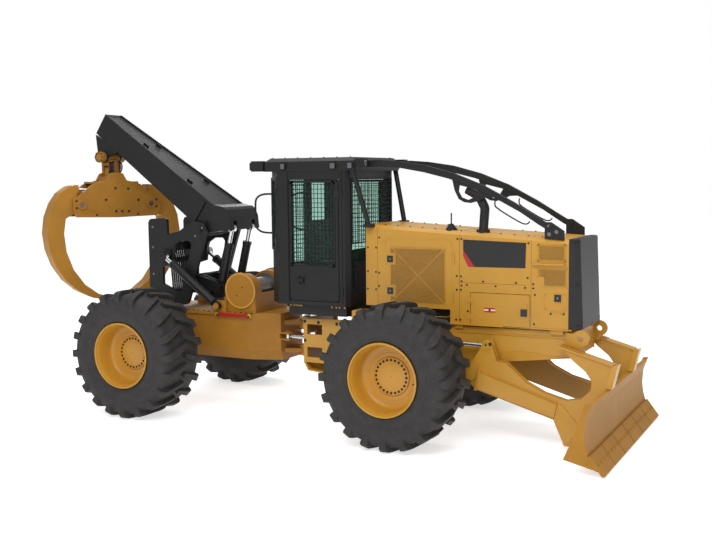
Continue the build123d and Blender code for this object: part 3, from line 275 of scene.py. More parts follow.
class Piece:
    """Collects simple forms in one mesh and turns them into a named piece of the machine."""

    def __init__(self, name, body, material, slot, bevel=0.0, angle=32.0):
        self.name, self.body, self.material = name, body, material
        self.bevel, self.slot, self.angle = bevel, slot, angle
        self.verts, self.faces, self.marks = [], [], []
        self.materials = [material]

    def use(self, material):
        """Sets the material of the forms that follow."""
        if material not in self.materials:
            self.materials.append(material)
        self.material = material

    def add(self, verts, faces):
        base = len(self.verts)
        self.verts.extend(verts)
        self.faces.extend([tuple(base + i for i in f) for f in faces])
        self.marks.extend([self.materials.index(self.material)] * len(faces))

    def box(self, x0, x1, y0, y1, z0, z1):
        """A box between two levels on each axis."""
        corners = [Vector((x, y, z)) for z in (z0, z1) for y in (y0, y1) for x in (x0, x1)]
        verts = [point(*c) for c in corners]
        self.add(verts, [(0, 2, 3, 1), (4, 5, 7, 6), (0, 1, 5, 4), (2, 6, 7, 3), (0, 4, 6, 2), (1, 3, 7, 5)])

    def plate(self, x0, x1, side, near, far, z0, z1):
        """A box on one side of the machine, from near to far off its middle plane."""
        self.box(x0, x1, *sorted((side * near, side * far)), z0, z1)

    def prism(self, outline, y0, y1):
        """A plate drawn in X and Z, from y0 to y1."""
        n = len(outline)
        verts = [point(x, y, z) for y in (y0, y1) for x, z in outline]
        faces = [tuple(range(n)), tuple(reversed(range(n, 2 * n)))]
        faces += [(i, i + n, (i + 1) % n + n, (i + 1) % n) for i in range(n)]
        self.add(verts, faces)

    def rings(self, centres, axes, radii, sides, caps=True):
        """A skin through rings, each with a centre, a pair of axes and a radius."""
        verts = []
        for c, (u, v), r in zip(centres, axes, radii):
            for k in range(sides):
                a = tau * k / sides
                verts.append(point(*(c + (u * cos(a) + v * sin(a)) * r)))
        faces = []
        for i in range(len(centres) - 1):
            for k in range(sides):
                a, b = i * sides + k, i * sides + (k + 1) % sides
                faces.append((a, b, b + sides, a + sides))
        if caps:
            faces.append(tuple(reversed(range(sides))))
            last = (len(centres) - 1) * sides
            faces.append(tuple(range(last, last + sides)))
        self.add(verts, faces)

    def cyl(self, a, b, r0, r1=None, sides=24):
        """A cylinder from a to b, or a cone where r1 is given."""
        a, b = Vector(a), Vector(b)
        d = (b - a).normalized()
        u = d.orthogonal().normalized()
        self.rings([a, b], [(u, d.cross(u))] * 2, [r0, r0 if r1 is None else r1], sides)

    def lathe(self, centre, axis, profile, sides=32):
        """A turned form: profile is a list of (distance along axis, radius)."""
        d = Vector(axis).normalized()
        u = d.orthogonal().normalized()
        centres = [Vector(centre) + d * t for t, r in profile]
        self.rings(centres, [(u, d.cross(u))] * len(profile), [r for t, r in profile], sides, caps=False)

    def tube(self, points, r, sides=10, steps=6, round_path=True):
        """A round bar or hose along points."""
        pts = smooth_path(points, steps) if round_path else [Vector(p) for p in points]
        d = (pts[1] - pts[0]).normalized()
        u = d.orthogonal().normalized()
        axes = []
        for i in range(len(pts)):
            a = pts[max(i - 1, 0)]
            b = pts[min(i + 1, len(pts) - 1)]
            t = (b - a).normalized()
            u = (u - t * u.dot(t)).normalized()
            axes.append((u, t.cross(u)))
        self.rings(pts, axes, [r] * len(pts), sides)

    def bar(self, a, b, width, depth, out=(0, 1, 0)):
        """A flat bar from a to b, its depth measured along out."""
        a, b = Vector(a), Vector(b)
        o = Vector(out).normalized()
        w = (b - a).normalized().cross(o).normalized()
        corners = ((-1, -1), (1, -1), (1, 1), (-1, 1))
        verts = [point(*(end + w * (i * width / 2) + o * (j * depth / 2)))
                 for end in (a, b) for i, j in corners]
        self.add(verts, [(0, 1, 2, 3), (7, 6, 5, 4), (0, 4, 5, 1), (1, 5, 6, 2), (2, 6, 7, 3), (3, 7, 4, 0)])

    def border(self, points, y, width, depth, closed=True):
        """A flat strip along points (x, z) in the upright plane at y."""
        ends = points[1:] + points[:1] if closed else points[1:]
        for (x0, z0), (x1, z1) in zip(points, ends):
            run = hypot(x1 - x0, z1 - z0)
            ex, ez = (x1 - x0) / run * width / 2, (z1 - z0) / run * width / 2
            self.bar((x0 - ex, y, z0 - ez), (x1 + ex, y, z1 + ez), width, depth)

    def weave(self, x0, x1, z0, z1, y, pitch, width, depth, angles):
        """Sets of parallel wires in the upright plane at y, each set at its own angle."""
        mx, mz = (x0 + x1) / 2, (z0 + z1) / 2
        reach = hypot(x1 - x0, z1 - z0) / 2
        count = int(reach / pitch)
        for angle in angles:
            dx, dz = cos(angle), sin(angle)
            for k in range(-count, count + 1):
                px, pz = mx - dz * k * pitch, mz + dx * k * pitch
                t0, t1 = -2 * reach, 2 * reach
                for at, d, low, high in ((px, dx, x0, x1), (pz, dz, z0, z1)):
                    if abs(d) > 1e-6:
                        near, far = sorted(((low - at) / d, (high - at) / d))
                        t0, t1 = max(t0, near), min(t1, far)
                    elif not low <= at <= high:
                        t1 = t0
                if t1 - t0 > pitch / 2:
                    self.bar((px + dx * t0, y, pz + dz * t0), (px + dx * t1, y, pz + dz * t1), width, depth)

    def bolt(self, place, out, r, h):
        """A hexagon bolt head on its washer."""
        p, d = Vector(place), Vector(out).normalized()
        self.cyl(p - d * 1.0, p + d * 2.5, r * 1.35, sides=14)
        self.cyl(p + d * 2.5, p + d * (2.5 + h), r, r * 0.94, sides=6)

    def build(self, *replaced):
        """Makes the object, which stands for the CAD nodes named."""
        mesh = bpy.data.meshes.new(self.name)
        mesh.from_pydata([tuple(v) for v in self.verts], [], self.faces)
        for m in self.materials:
            mesh.materials.append(m)
        for face, mark in zip(mesh.polygons, self.marks):
            face.material_index = mark
        bm = bmesh.new()
        bm.from_mesh(mesh)
        bmesh.ops.recalc_face_normals(bm, faces=bm.faces)
        bm.to_mesh(mesh)
        bm.free()
        finish_piece(placed(self.name, mesh), self.body, self.bevel, self.angle, replaced)


def rounded(x0, x1, z0, z1, r, steps=4):
    """Corner points of a rectangle with round corners."""
    out = []
    for quarter, (cx, cz) in enumerate(((x1 - r, z1 - r), (x0 + r, z1 - r), (x0 + r, z0 + r),
                                        (x1 - r, z0 + r))):
        for k in range(steps + 1):
            a = pi / 2 * (quarter + k / steps)
            out.append((cx + r * cos(a), cz + r * sin(a)))
    return out


def finish_piece(obj, body, bevel, angle, replaced=()):
    """Smooths the faces, softens the edges and puts the piece on its body."""
    mesh = obj.data
    for face in mesh.polygons:
        face.use_smooth = True
    mesh.set_sharp_from_angle(angle=radians(angle))
    if bevel > 0:
        mod = obj.modifiers.new("edges", "BEVEL")
        mod.width = bevel / 1000.0
        mod.segments = 2
        mod.limit_method = "ANGLE"
        mod.angle_limit = radians(angle)
        mod.harden_normals = True
    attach(obj, body)
    if replaced:
        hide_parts(*replaced)


def dress(node, bevel):
    """Stands for a CAD node with the same form, its edges softened and its paint applied."""
    mesh = nodes[node].data.copy()
    mesh.materials.clear()
    mesh.materials.append(own_paint.get(node, slot_material[slot_of[node]]))
    bm = bmesh.new()
    bm.from_mesh(mesh)
    bmesh.ops.remove_doubles(bm, verts=bm.verts, dist=0.00002)
    bmesh.ops.dissolve_limit(bm, angle_limit=radians(0.6), verts=bm.verts, edges=bm.edges)
    bm.to_mesh(mesh)
    bm.free()
    finish_piece(placed(node + "_dressed", mesh), body_of[node], bevel, 30.0, (node,))


def paint(node):
    """Gives a CAD node the paint of its slot and keeps its form."""
    materials = nodes[node].data.materials
    materials.clear()
    materials.append(slot_material[slot_of[node]])


# Tyres and rims
tyre_r = 890.0
track_half = 1340.0
axle_x = 2000.0


def lug_mesh(piece, centre, side, turn):
    """One tread bar from the middle of the tread to the shoulder and down the side."""
    cx, cy, cz = centre
    # distance across (mm from the middle), sweep (mm at the tread), half width, top radius
    stations = [
        (-18, -12, 29, 884), (60, 14, 32, 889), (150, 46, 36, 889), (235, 78, 42, 888), (305, 100, 48, 883),
        (352, 112, 52, 868), (379, 118, 52, 836), (379, 122, 47, 782), (366, 124, 36, 716),
    ]
    floor_r = [832, 834, 832, 826, 812, 800, 775, 735, 700]
    verts = []
    for (across, sweep, half, top), low in zip(stations, floor_r):
        for radius, grow in ((low - 6, 9), (top, 0)):
            for edge in (-1, 1):
                a = turn + (sweep + edge * (half + grow)) / tyre_r
                y = side * across
                if radius == low - 6 and across > 350:
                    y = side * (across - 26)
                verts.append(point(cx + radius * sin(a), cy + y, cz + radius * cos(a)))
    faces = []
    for i in range(len(stations) - 1):
        a, b = 4 * i, 4 * (i + 1)
        faces += [(a + 2, a + 3, b + 3, b + 2), (a, a + 2, b + 2, b), (a + 3, a + 1, b + 1, b + 3)]
    faces.append((0, 1, 3, 2))
    last = 4 * (len(stations) - 1)
    faces.append((last, last + 2, last + 3, last + 1))
    piece.add(verts, faces)


def make_wheel(name, x, side):
    """A treaded tyre and a dished disc in place of the plain ones."""
    body = "wheel_" + name
    cy = side * track_half
    centre = (x, cy, tyre_r)
    tyre = Piece("tread_" + name, body, rubber, "tyre_rubber", bevel=5.0, angle=38.0)
    profile = [(-300, 441), (-330, 452), (-352, 480), (-368, 540), (-377, 610), (-376, 690), (-364, 752),
               (-345, 795), (-310, 818), (-220, 828), (0, 833), (220, 828), (310, 818), (345, 795),
               (364, 752), (376, 690), (377, 610), (368, 540), (352, 480), (330, 452), (300, 441)]
    tyre.lathe(centre, (0, 1, 0), profile, sides=96)
    count = 20
    for k in range(count):
        lug_mesh(tyre, centre, 1, tau * k / count)
        lug_mesh(tyre, centre, -1, tau * (k + 0.5) / count)
    tyre.build("tyre_" + name)
    for radius, half_width, level in ((520, 4, 364), (598, 3, 378.5), (640, 3, 379)):
        ring = Piece("sidewall_ring_%s_%d" % (name, radius), body, rubber, "tyre_rubber")
        for s in (-1, 1):
            base = s * (level - 2)
            ring.lathe((x, cy, tyre_r), (0, 1, 0),
                       [(base - s * 3, radius - half_width - 3), (base + s * 1.5, radius - half_width),
                        (base + s * 1.5, radius + half_width), (base - s * 3, radius + half_width + 3)],
                        sides=72)
        ring.build()
    # the rim's outer side faces away from the machine
    out = side
    rim = Piece("wheel_disc_" + name, body, yellow, "yellow_paint", bevel=2.0, angle=30)
    shell = [(352, 458), (360, 456), (366, 450), (367, 443), (363, 436), (352, 431), (334, 429), (322, 421),
             (300, 413), (200, 408), (120, 401), (94, 393), (78, 376), (69, 352), (65.5, 326), (65, 304),
             (63, 301), (63, 298), (65, 295), (65, 246), (62, 243), (62, 240), (79, 237), (80.5, 233),
             (80.5, 10), (72, 9), (72, 0.5)]
    rim.lathe(centre, (0, out, 0), shell, sides=96)
    rim.lathe(centre, (0, out, 0), [(-298, 440), (-302, 434), (-298, 420), (-250, 414), (40, 406)], sides=72)
    # The hub and the inner disc take the darker yellow: painted shade inside the dished rim.
    rim.use(yellow_shaded)
    rim.lathe(centre, (0, out, 0), [(-144, 0.5), (-144, 219), (40, 222)], sides=48)
    rim.use(iron)
    for k in range(24):
        a = tau * k / 24
        c = Vector((x + 204 * sin(a), cy + out * 79, tyre_r + 204 * cos(a)))
        rim.bolt(c, (0, out, 0), r=12.5, h=9)
    rim.tube([(x + 392, cy + out * 196, tyre_r - 30), (x + 380, cy + out * 240, tyre_r - 30),
              (x + 376, cy + out * 290, tyre_r - 30)], 6, sides=8)
    rim.build("rim_" + name)


for name, x, side in (("front_left", axle_x, 1), ("front_right", axle_x, -1), ("rear_left", -axle_x, 1),
                      ("rear_right", -axle_x, -1)):
    make_wheel(name, x, side)

# CAD nodes that keep their form: bevel widths, and paints that differ from their slot's
soft_edges = {
    "front_frame": 3, "front_axle": 4, "rear_frame": 3, "rear_axle": 4, "arch": 4, "fairlead": 4,
    "hood": 3, "service_door_left": 2, "service_door_right": 2, "cab_shell": 5, "cab_roof": 14,
    "cab_door_left": 3, "cab_door_right": 3, "push_frame": 3, "blade": 3, "cutting_edge": 2,
    "winch_housing": 5, "winch_drum": 2, "steering_lock_bars": 3, "limb_risers": 2, "swing_link": 4,
    "crosshead": 3, "grapple_head": 4, "tong_left": 6, "tong_right": 6, "roof_lamps": 6,
    "control_consoles": 12, "seat_frame": 5, "engine_block": 10, "exhaust_stack": 2, "precleaner": 3,
    "arch_barrels": 2, "boom_barrels": 2, "blade_lift_barrels": 2, "steering_barrel_left": 2,
    "steering_barrel_right": 2, "tong_barrel_left": 2, "tong_barrel_right": 2, "hood_grilles": 1,
    "front_guard": 4,
}
# The parts given the darker yellow here take it as painted shade, for parts that lie in shadow.
own_paint = {
    "front_guard": guard_grey, "front_axle": yellow_shaded, "rear_axle": yellow_shaded, "rear_frame": yellow_shaded,
    "cutting_edge": yellow_worn, "blade": yellow_worn, "winch_housing": yellow_shaded,
    "grapple_head": yellow_shaded, "tong_left": yellow_worn, "tong_right": yellow_worn,
    "swing_link": yellow_shaded, "crosshead": yellow_shaded,
}
for node, width in soft_edges.items():
    dress(node, width)
for node in nodes:
    if node not in soft_edges and not node.startswith(("tyre_", "rim_", "cab_glass")):
        paint(node)


# Hood: mesh panels, name plates, latches, seams and bolts, the same on both sides
def hood_top(x):
    """The level of the hood's top, which falls towards the nose."""
    return 2693.0 - (x - 1205.0) * 153.0 / 2719.0


hood_bolt_places = [
    (1403, 2519), (1356, 2384), (1236, 2388), (1233, 2072), (1353, 2064), (1399, 2053), (1395, 1880),
    (1351, 1833), (1230, 1838), (2500, 2521), (2552, 2522), (3425, 2487), (2491, 2052), (2548, 2050),
    (2555, 1987), (2555, 1933), (2626, 1945), (2491, 1877), (2548, 1879), (2842, 1993), (3006, 1944),
    (3269, 1995), (3384, 1939), (3416, 2061), (3488, 1990), (3488, 1937), (3509, 1859), (2639, 1771),
    (2639, 1612), (2483, 1496), (2538, 1497), (3501, 1497), (3708, 1636), (3867, 1638),
]
stack_x, precleaner_x = 2799, 2369
grille_areas = [(1564, 2343, 1668, 2407), (3550, 3884, 2278, 2474), (3624, 3900, 1964, 2186),
                (3546, 3626, 2086, 2186)]


def grille_mesh(side, tag):
    panel = Piece("grille_mesh_" + tag, "front", grille_shade_sheet, "yellow_paint")
    # Dark sheets just behind the wires: their colour is painted shade for the depth of the grille.
    for x0, x1, z0, z1 in grille_areas:
        panel.plate(x0, x1, side, 498.2, 499.6, z0, z1)
    panel.use(yellow)
    panel.weave(1564, 2343, 1668, 2407, side * 500.6, 15, 4.2, 2.4, (radians(22), radians(-52)))
    panel.bar((1564, side * 502, 2407), (2343, side * 502, 1668), 9, 3)
    panel.bar((1564, side * 502, 1668), (2343, side * 502, 2407), 9, 3)
    for x0, x1, z0, z1 in grille_areas[1:]:
        panel.weave(x0, x1, z0, z1, side * 500.6, 12, 4.0, 2.2, (radians(30), radians(-30)))
    panel.build()


def hood_trim(side, tag):
    trim = Piece("hood_trim_" + tag, "front", yellow, "yellow_paint", bevel=1.5)
    trim.plate(1404, 1566, side, 496, 501.5, 1654, 2409)
    for z in (2242, 1825):
        trim.plate(1566, 1640, side, 496, 501.5, z - 78, z + 78)
        trim.plate(1500, 1628, side, 501.0, 508.0, z - 66, z + 66)
    trim.plate(3544, 3622, side, 496, 501.5, 1959, 2084)
    trim.plate(3738, 3850, side, 500.0, 507.0, 1772, 1888)
    for points in (rounded(1490, 2420, 1520, 2512, 70), rounded(3625, 3903, 1686, 1884, 34)):
        trim.border(points, side * 500.8, 7, 2.6)
    trim.border(rounded(3540, 3890, 2268, 2480, 22), side * 501, 9, 4)
    trim.border([(3540, 2190), (3906, 2190), (3906, 1956), (3620, 1956), (3620, 2080), (3540, 2080)],
                side * 501, 9, 4)
    trim.plate(2300, 3110, side, 499.0, 528.0, 1436, 1450)
    trim.plate(3500, 3966, side, 499.0, 520.0, 1440, 1454)
    trim.tube([(3490, side * 502, 2235), (3496, side * 536, 2235), (3520, side * 542, 2235),
               (3850, side * 542, 2235), (3872, side * 536, 2235), (3878, side * 502, 2235)], 11, sides=12,
               steps=3)
    trim.plate(2444, 2460, side, 500.0, 512.0, 2203, 2358)
    trim.plate(3700, 3880, side, 500.0, 509.0, 1655, 1664)
    trim.build()


def hood_seams(side, tag):
    seams = Piece("hood_seams_" + tag, "front", iron, "dark_iron")
    for x, z0 in ((2528, 1460), (3460, 1470), (1378, 1640)):
        seams.plate(x - 1.6, x + 1.6, side, 499.5, 500.5, z0, hood_top(x) - 44)
    seams.plate(2568, 3390, side, 499.5, 500.5, 1970, 1973)
    for x, z0, z1 in ((2674, 1590, 1797), (2450, 1699, 1856), (2450, 2203, 2358)):
        seams.plate(x - 2, x + 2, side, 499.5, 501.0, z0, z1)
    seams.build()


def hood_latches(side, tag):
    latches = Piece("hood_latches_" + tag, "front", plate_black, "black_paint", bevel=3)
    for x, z in ((1563, 2242), (1563, 1825), (3794, 1830)):
        latches.plate(x - 42, x + 42, side, 506.0, 514.0, z - 44, z + 44)
        latches.use(steel)
        latches.cyl((x, side * 513.5, z), (x, side * 517.0, z), 12, sides=16)
        latches.plate(x - 9, x + 9, side, 516.5, 519.0, z - 2.5, z + 2.5)
        latches.use(plate_black)
    latches.build()


def hood_bolts(side, tag):
    studs = Piece("hood_bolts_" + tag, "front", plate_black, "black_paint")
    for x, z in hood_bolt_places:
        studs.bolt((x, side * 500.5, z), (0, side, 0), r=9.5, h=6)
    for k in range(15):
        x = 1290 + k * 176
        if min(abs(x - stack_x), abs(x - precleaner_x)) > 110 and x < 3590:
            studs.bolt((x, side * 432, hood_top(x) + 0.5), (0, 0, 1), r=10, h=8)
    studs.build()


def name_plate(side, tag):
    plate_piece = Piece("name_plate_" + tag, "front", plate_black, "black_paint", bevel=1)
    plate_piece.prism([(2577, 2515), (3396, 2490), (3387, 2179), (2645, 2174), (2577, 2310)],
                      *sorted((side * 500.2, side * 503.0)))
    plate_piece.use(red)
    plate_piece.prism([(2577, 2382), (2577, 2310), (2645, 2174), (2732, 2174)],
                      *sorted((side * 503.0, side * 503.8)))
    plate_piece.build()


def service_door_trim(side, tag):
    door = Piece("service_door_trim_" + tag, "service_door_" + tag, yellow, "yellow_paint", bevel=1.2)
    door.border(rounded(2692, 3430, 1520, 1846, 16), side * 500.6, 5, 2)
    door.plate(3310, 3436, side, 500.0, 506.0, 1566, 1690)
    door.use(red)
    door.plate(2858, 3002, side, 500.3, 502.0, 1611, 1669)
    door.use(white)
    door.plate(2858, 3002, side, 502.0, 502.6, 1630, 1650)
    door.use(plate_black)
    door.cyl((2930, side * 502.0, 1640), (2930, side * 504.0, 1640), 15, sides=20)
    door.plate(3331, 3415, side, 506.0, 514.0, 1584, 1672)
    door.build()


for side, tag in machine_sides:
    for build_piece in (grille_mesh, hood_trim, hood_seams, hood_latches, hood_bolts, name_plate,
                        service_door_trim):
        build_piece(side, tag)

top_seams = Piece("hood_top_seams", "front", iron, "dark_iron")
for x in (1378, 2528, 3460):
    top_seams.box(x - 1.6, x + 1.6, -455, 455, hood_top(x) - 1, hood_top(x) + 0.8)
top_seams.build()


# Cab: door frames, guards, handles, lamps and fittings
def door_frame(side, tag):
    frame_piece = Piece("door_frame_" + tag, "door_" + tag, black, "black_paint", bevel=3)
    frame_piece.border(rounded(180, 845, 2126, 3258, 30), side * 703, 22, 8)
    frame_piece.border(rounded(156, 896, 1668, 3268, 16), side * 701, 12, 4)
    frame_piece.plate(262, 376, side, 700.0, 706.0, 1858, 2016)
    frame_piece.build()


def door_guard(side, tag):
    guard = Piece("door_guard_" + tag, "door_" + tag, black_matt, "black_paint")
    for k in range(12):
        x = 206 + k * 55.0
        guard.bar((x, side * 692, 2150), (x, side * 692, 3232), 8, 6)
    for k in range(18):
        z = 2180 + k * 61.0
        guard.bar((188, side * 688, z), (829, side * 688, z), 8, 5)
    guard.build()


def door_latch(side, tag):
    latch = Piece("door_latch_" + tag, "door_" + tag, black_matt, "black_paint", bevel=2)
    latch.plate(280, 358, side, 706.0, 709.0, 1876, 1998)
    latch.tube([(300, side * 706, 1980), (300, side * 724, 1968), (300, side * 727, 1936),
                (300, side * 724, 1906), (300, side * 706, 1894)], 7, sides=10, steps=3)
    latch.cyl((336, side * 706, 1900), (336, side * 714, 1900), 12, sides=18)
    latch.build()


def cab_rail(side, tag):
    rail = Piece("cab_rail_" + tag, "front", black, "black_paint")
    rail.tube([(-249, side * 470, 3090), (-400, side * 474, 3084), (-486, side * 478, 3050),
               (-526, side * 480, 2985), (-530, side * 480, 2820), (-530, side * 480, 2655),
               (-486, side * 478, 2590), (-400, side * 474, 2556), (-249, side * 470, 2550)], 14, sides=12,
               steps=4)
    rail.cyl((-252, side * 470, 3090), (-244, side * 470, 3090), 30, sides=16)
    rail.cyl((-252, side * 470, 2550), (-244, side * 470, 2550), 30, sides=16)
    rail.build()


def cab_base_fittings(side, tag):
    fittings = Piece("cab_base_fittings_" + tag, "front", brass, "bare_steel")
    for x in (130, 182, 226, 262, 300, 770, 836, 884, 962):
        fittings.cyl((x, side * 622, 1585), (x, side * 650, 1585), 15, sides=6)
        fittings.cyl((x, side * 650, 1585), (x, side * 664, 1585), 9, sides=12)
    fittings.build()


def cab_trim(side, tag):
    posts = Piece("cab_trim_" + tag, "front", black, "black_paint", bevel=2)
    for x0, x1, z0, z1 in ((92, 134, 1640, 3390), (936, 960, 1640, 3390)):
        posts.plate(x0, x1, side, 699.0, 708.0, z0, z1)
    for x, z in ((-120, 1960), (40, 1965), (-90, 1720), (30, 1730)):
        past = max(0, -30 - x)
        posts.bolt((x, side * (700 - past), z), (-0.7 if past else 0, side, 0), r=9, h=6)
    for k in range(7):
        posts.bolt((-160 + k * 200, side * 600, 3572), (0, 0, 1), r=11, h=8)
    posts.build()


def lamp_lenses(side, tag):
    lamp_glass = Piece("lamp_lenses_" + tag, "front", lens, "window_glass", bevel=1.5)
    for x0, x1, z0, z1 in ((46, 104, 3427, 3493), (806, 874, 3427, 3493), (1066, 1124, 3427, 3493)):
        lamp_glass.plate(x0, x1, side, 734.0, 738.0, z0, z1)
    lamp_glass.plate(-494, -490, side, 552.0, 668.0, 3424, 3510)
    lamp_glass.lathe((1275, side * 625, 3495), (1, 0, 0), [(0, 40), (3, 38), (6, 28), (7, 0.5)], sides=28)
    lamp_glass.build()


for side, tag in machine_sides:
    for build_piece in (door_frame, door_guard, door_latch, cab_rail, cab_base_fittings, cab_trim,
                        lamp_lenses):
        build_piece(side, tag)

guards = Piece("cab_window_guards", "front", black_matt, "black_paint")
for k in range(20):
    y = -570 + k * 60.0
    guards.bar((1056, y, 2440), (1056, y, 3290), 8, 6, (1, 0, 0))
for k in range(14):
    z = 2470 + k * 60.0
    guards.bar((1060, -600, z), (1060, 600, z), 8, 5, (1, 0, 0))
for k in range(14):
    y = -390 + k * 60.0
    guards.bar((-254, y, 2096), (-254, y, 3284), 8, 6, (1, 0, 0))
for k in range(20):
    z = 2120 + k * 60.0
    guards.bar((-258, -404, z), (-258, 404, z), 8, 5, (1, 0, 0))
for x, half, z0, z1 in ((1058, 606, 2436, 3290), (-256, 406, 2096, 3286)):
    for y in (-half, half):
        guards.bar((x, y, z0), (x, y, z1), 16, 12, (1, 0, 0))
    for z in (z0, z1):
        guards.bar((x, -half, z), (x, half, z), 16, 12, (1, 0, 0))
guards.build()


# Seat pads
def cushion(name, low, high, crown, front_axis):
    """A stuffed pad: crowned faces, sides drawn in between the corners and two sewn channels."""
    steps = 20
    mid = [(a + b) / 2 for a, b in zip(low, high)]
    half = [(b - a) / 2 for a, b in zip(low, high)]
    bm = bmesh.new()
    bmesh.ops.create_cube(bm, size=2.0)
    bmesh.ops.subdivide_edges(bm, edges=bm.edges, cuts=steps, use_grid_fill=True)
    for v in bm.verts:
        u = [v.co.x, v.co.y, v.co.z]
        others = [k for k in range(3) if k != front_axis]
        a, b = u[others[0]], u[others[1]]
        dome = (1 - a * a) * (1 - b * b)
        channel = 0.06 * (cos(a * pi * 1.5) ** 8 if abs(u[front_axis]) > 0.9 and abs(b) < 0.8 else 0.0)
        t = u[front_axis]
        draw = 1 - 0.035 * (1 - a * a) if abs(b) > 0.98 else 1.0
        round_off = 1 - 0.10 * (abs(a * b) ** 6)
        u[front_axis] = t * (1 - crown + crown * dome ** 0.35 - channel * dome)
        edge = 1 - 0.08 * abs(t) ** 6
        u[others[0]] = a * edge * round_off
        u[others[1]] = b * edge * round_off * draw
        v.co = point(*[m + h * k for m, h, k in zip(mid, half, u)])
    mesh = bpy.data.meshes.new(name)
    bm.to_mesh(mesh)
    bm.free()
    mesh.materials.append(fabric)
    return placed(name, mesh)


seat_base = cushion("seat_cushion", (186, -239, 2031), (639, 239, 2139), 0.22, 2)
finish_piece(seat_base, "front", 0, 60, ("seat_pads",))
seat_rest = cushion("seat_backrest", (171, -234, 2146), (272, 234, 2729), 0.24, 0)
finish_piece(seat_rest, "front", 0, 60)
piping = Piece("seat_piping", "front", hose_black, "seat_fabric")
for points in ([(200, -222, 2122), (624, -222, 2122), (624, 222, 2122), (200, 222, 2122), (200, -222, 2122)],
               [(262, -216, 2166), (262, -216, 2706), (262, 216, 2706), (262, 216, 2166), (262, -216, 2166)]):
    piping.tube(points, 4, sides=8, round_path=False)
piping.build()

# Boom: edge strips, small plates on the top, pin caps at the root
boom_dir = Vector((-0.8203, 0, 0.5719))
boom_up = Vector((0.5719, 0, 0.8203))
boom_root = Vector((-1560, 0, 2578))
boom_length = 2548.0


def boom_place(along, y, rise):
    """A point on the boom: along its length, across, and above its lower edge."""
    q = boom_root + boom_dir * along + boom_up * rise
    return Vector((q.x, y, q.z))


def boom_side(along):
    """The boom's half width and its depth at a length."""
    t = along / boom_length
    return 380 - 190 * t, 430 - 85 * t


strips = Piece("boom_edges", "boom", guard_grey, "black_paint", bevel=1.5)
for side in (-1, 1):
    for share, inset in ((0.0, 5), (1.0, -8)):
        ends = []
        for along in (30, boom_length - 6):
            half, depth = boom_side(along)
            ends.append(boom_place(along, side * (half + 1.5), share * depth + inset))
        strips.bar(ends[0], ends[1], 9, 7)
half, depth = boom_side(boom_length)
for rise in (8, depth - 10):
    strips.bar(boom_place(boom_length - 2, -half, rise), boom_place(boom_length - 2, half, rise), 12, 8,
               boom_dir)
strips.build()
marks = Piece("boom_fittings", "boom", black, "black_paint", bevel=2)
for along, y in ((1650, -150), (640, -210), (1650, 150), (640, 210)):
    depth = boom_side(along)[1]
    marks.bar(boom_place(along - 55, y, depth - 8), boom_place(along + 55, y, depth - 8), 12, 40, boom_up)
for side in (-1, 1):
    marks.cyl(boom_place(-25, side * 372, 130), boom_place(-25, side * 397, 130), 44, sides=24)
    marks.bolt(boom_place(-25, side * 397, 130), (0, side, 0), r=20, h=9)
marks.build()

# Grapple head: cover plates, pin bosses and bolts on both faces
turn = radians(60.0)
hang_x = -3550
link_pin_z = 3660


def head_point(u, n, z):
    """A place in the grapple's own heading: u along the head, n out of its near face."""
    return Vector((hang_x + u * cos(turn) + n * sin(turn), u * sin(turn) - n * cos(turn), z))


for side in (1, -1):
    out_dir = Vector((sin(turn), -cos(turn), 0)) * side
    face = 270.0
    tag = "near" if side > 0 else "far"
    # The cover plates take the darker yellow, which is painted shade.
    cover = Piece("head_cover_" + tag, "grapple_head", yellow_shaded, "yellow_paint", bevel=2.5)
    hexagon = [(-25, 3210), (-225, 3004), (-40, 2790), (236, 2790), (400, 2990), (236, 3210)]
    base = [head_point(side * u, side * (face - 1), z) for u, z in hexagon]
    lifted = [head_point(side * u, side * (face + 5), z) for u, z in hexagon]
    count = len(hexagon)
    cover.add([point(*q) for q in base + lifted], [tuple(range(count)), tuple(range(count, 2 * count))]
              + [(k, (k + 1) % count, (k + 1) % count + count, k + count) for k in range(count)])
    for u, z in ((-550, 2930), (550, 2930)):
        middle = head_point(side * u, side * face, z)
        cover.lathe(middle, out_dir, [(-2, 74), (14, 74), (18, 70), (18, 48), (14, 46), (14, 0.5)], sides=36)
    cover.build()
    head_bolts = Piece("head_bolts_" + tag, "grapple_head", iron, "dark_iron")
    for u, z in ((-25, 3176), (179, 3168), (-180, 3001), (341, 2990), (-25, 2821), (71, 2818), (180, 2815)):
        head_bolts.bolt(head_point(side * u, side * (face + 5), z), out_dir, r=15, h=9)
    for u, z in ((-640, 2990), (-640, 2880), (640, 2990), (640, 2880), (-330, 2770), (330, 2770)):
        head_bolts.bolt(head_point(side * u, side * face, z), out_dir, r=13, h=8)
    head_bolts.use(steel)
    for u, z in ((-550, 2930), (550, 2930)):
        head_bolts.bolt(head_point(side * u, side * (face + 13), z), out_dir, r=27, h=14)
    head_bolts.build()
for side, tag in machine_sides:
    link_bolts = Piece("link_bolts_" + tag, "swing_link", iron, "dark_iron")
    for k in range(8):
        a = tau * k / 8
        link_bolts.bolt((hang_x + 66 * cos(a), side * 260, link_pin_z + 66 * sin(a)), (0, side, 0), r=10, h=7)
    link_bolts.build()
hoses = Piece("boom_tip_hoses", "boom", hose_black, "dark_plastic")
for k in range(5):
    y = -64 + k * 32
    hoses.tube([boom_place(boom_length - 560, y, 6), boom_place(boom_length - 470, y, -36),
                boom_place(boom_length - 330, y * 1.1, -88), boom_place(boom_length - 215, y * 1.2, -96),
                boom_place(boom_length - 130, y * 1.2, -50), boom_place(boom_length - 100, y, 6)], 15,
                sides=10)
hoses.build()
link_hoses = Piece("link_hoses", "swing_link", hose_black, "dark_plastic")
for k in range(4):
    y = -84 - 8 * (k % 2)
    x = -3500 + k * 26
    for sign in (-1, 1):
        link_hoses.tube([(x - 20, sign * 60, 3600), (x + 10, sign * (-y + 4), 3560),
                         (x + 16, sign * (-y + 8), 3500), (x, sign * (-y), 3440), (x - 20, sign * 62, 3410)],
                         11, sides=10)
link_hoses.build()

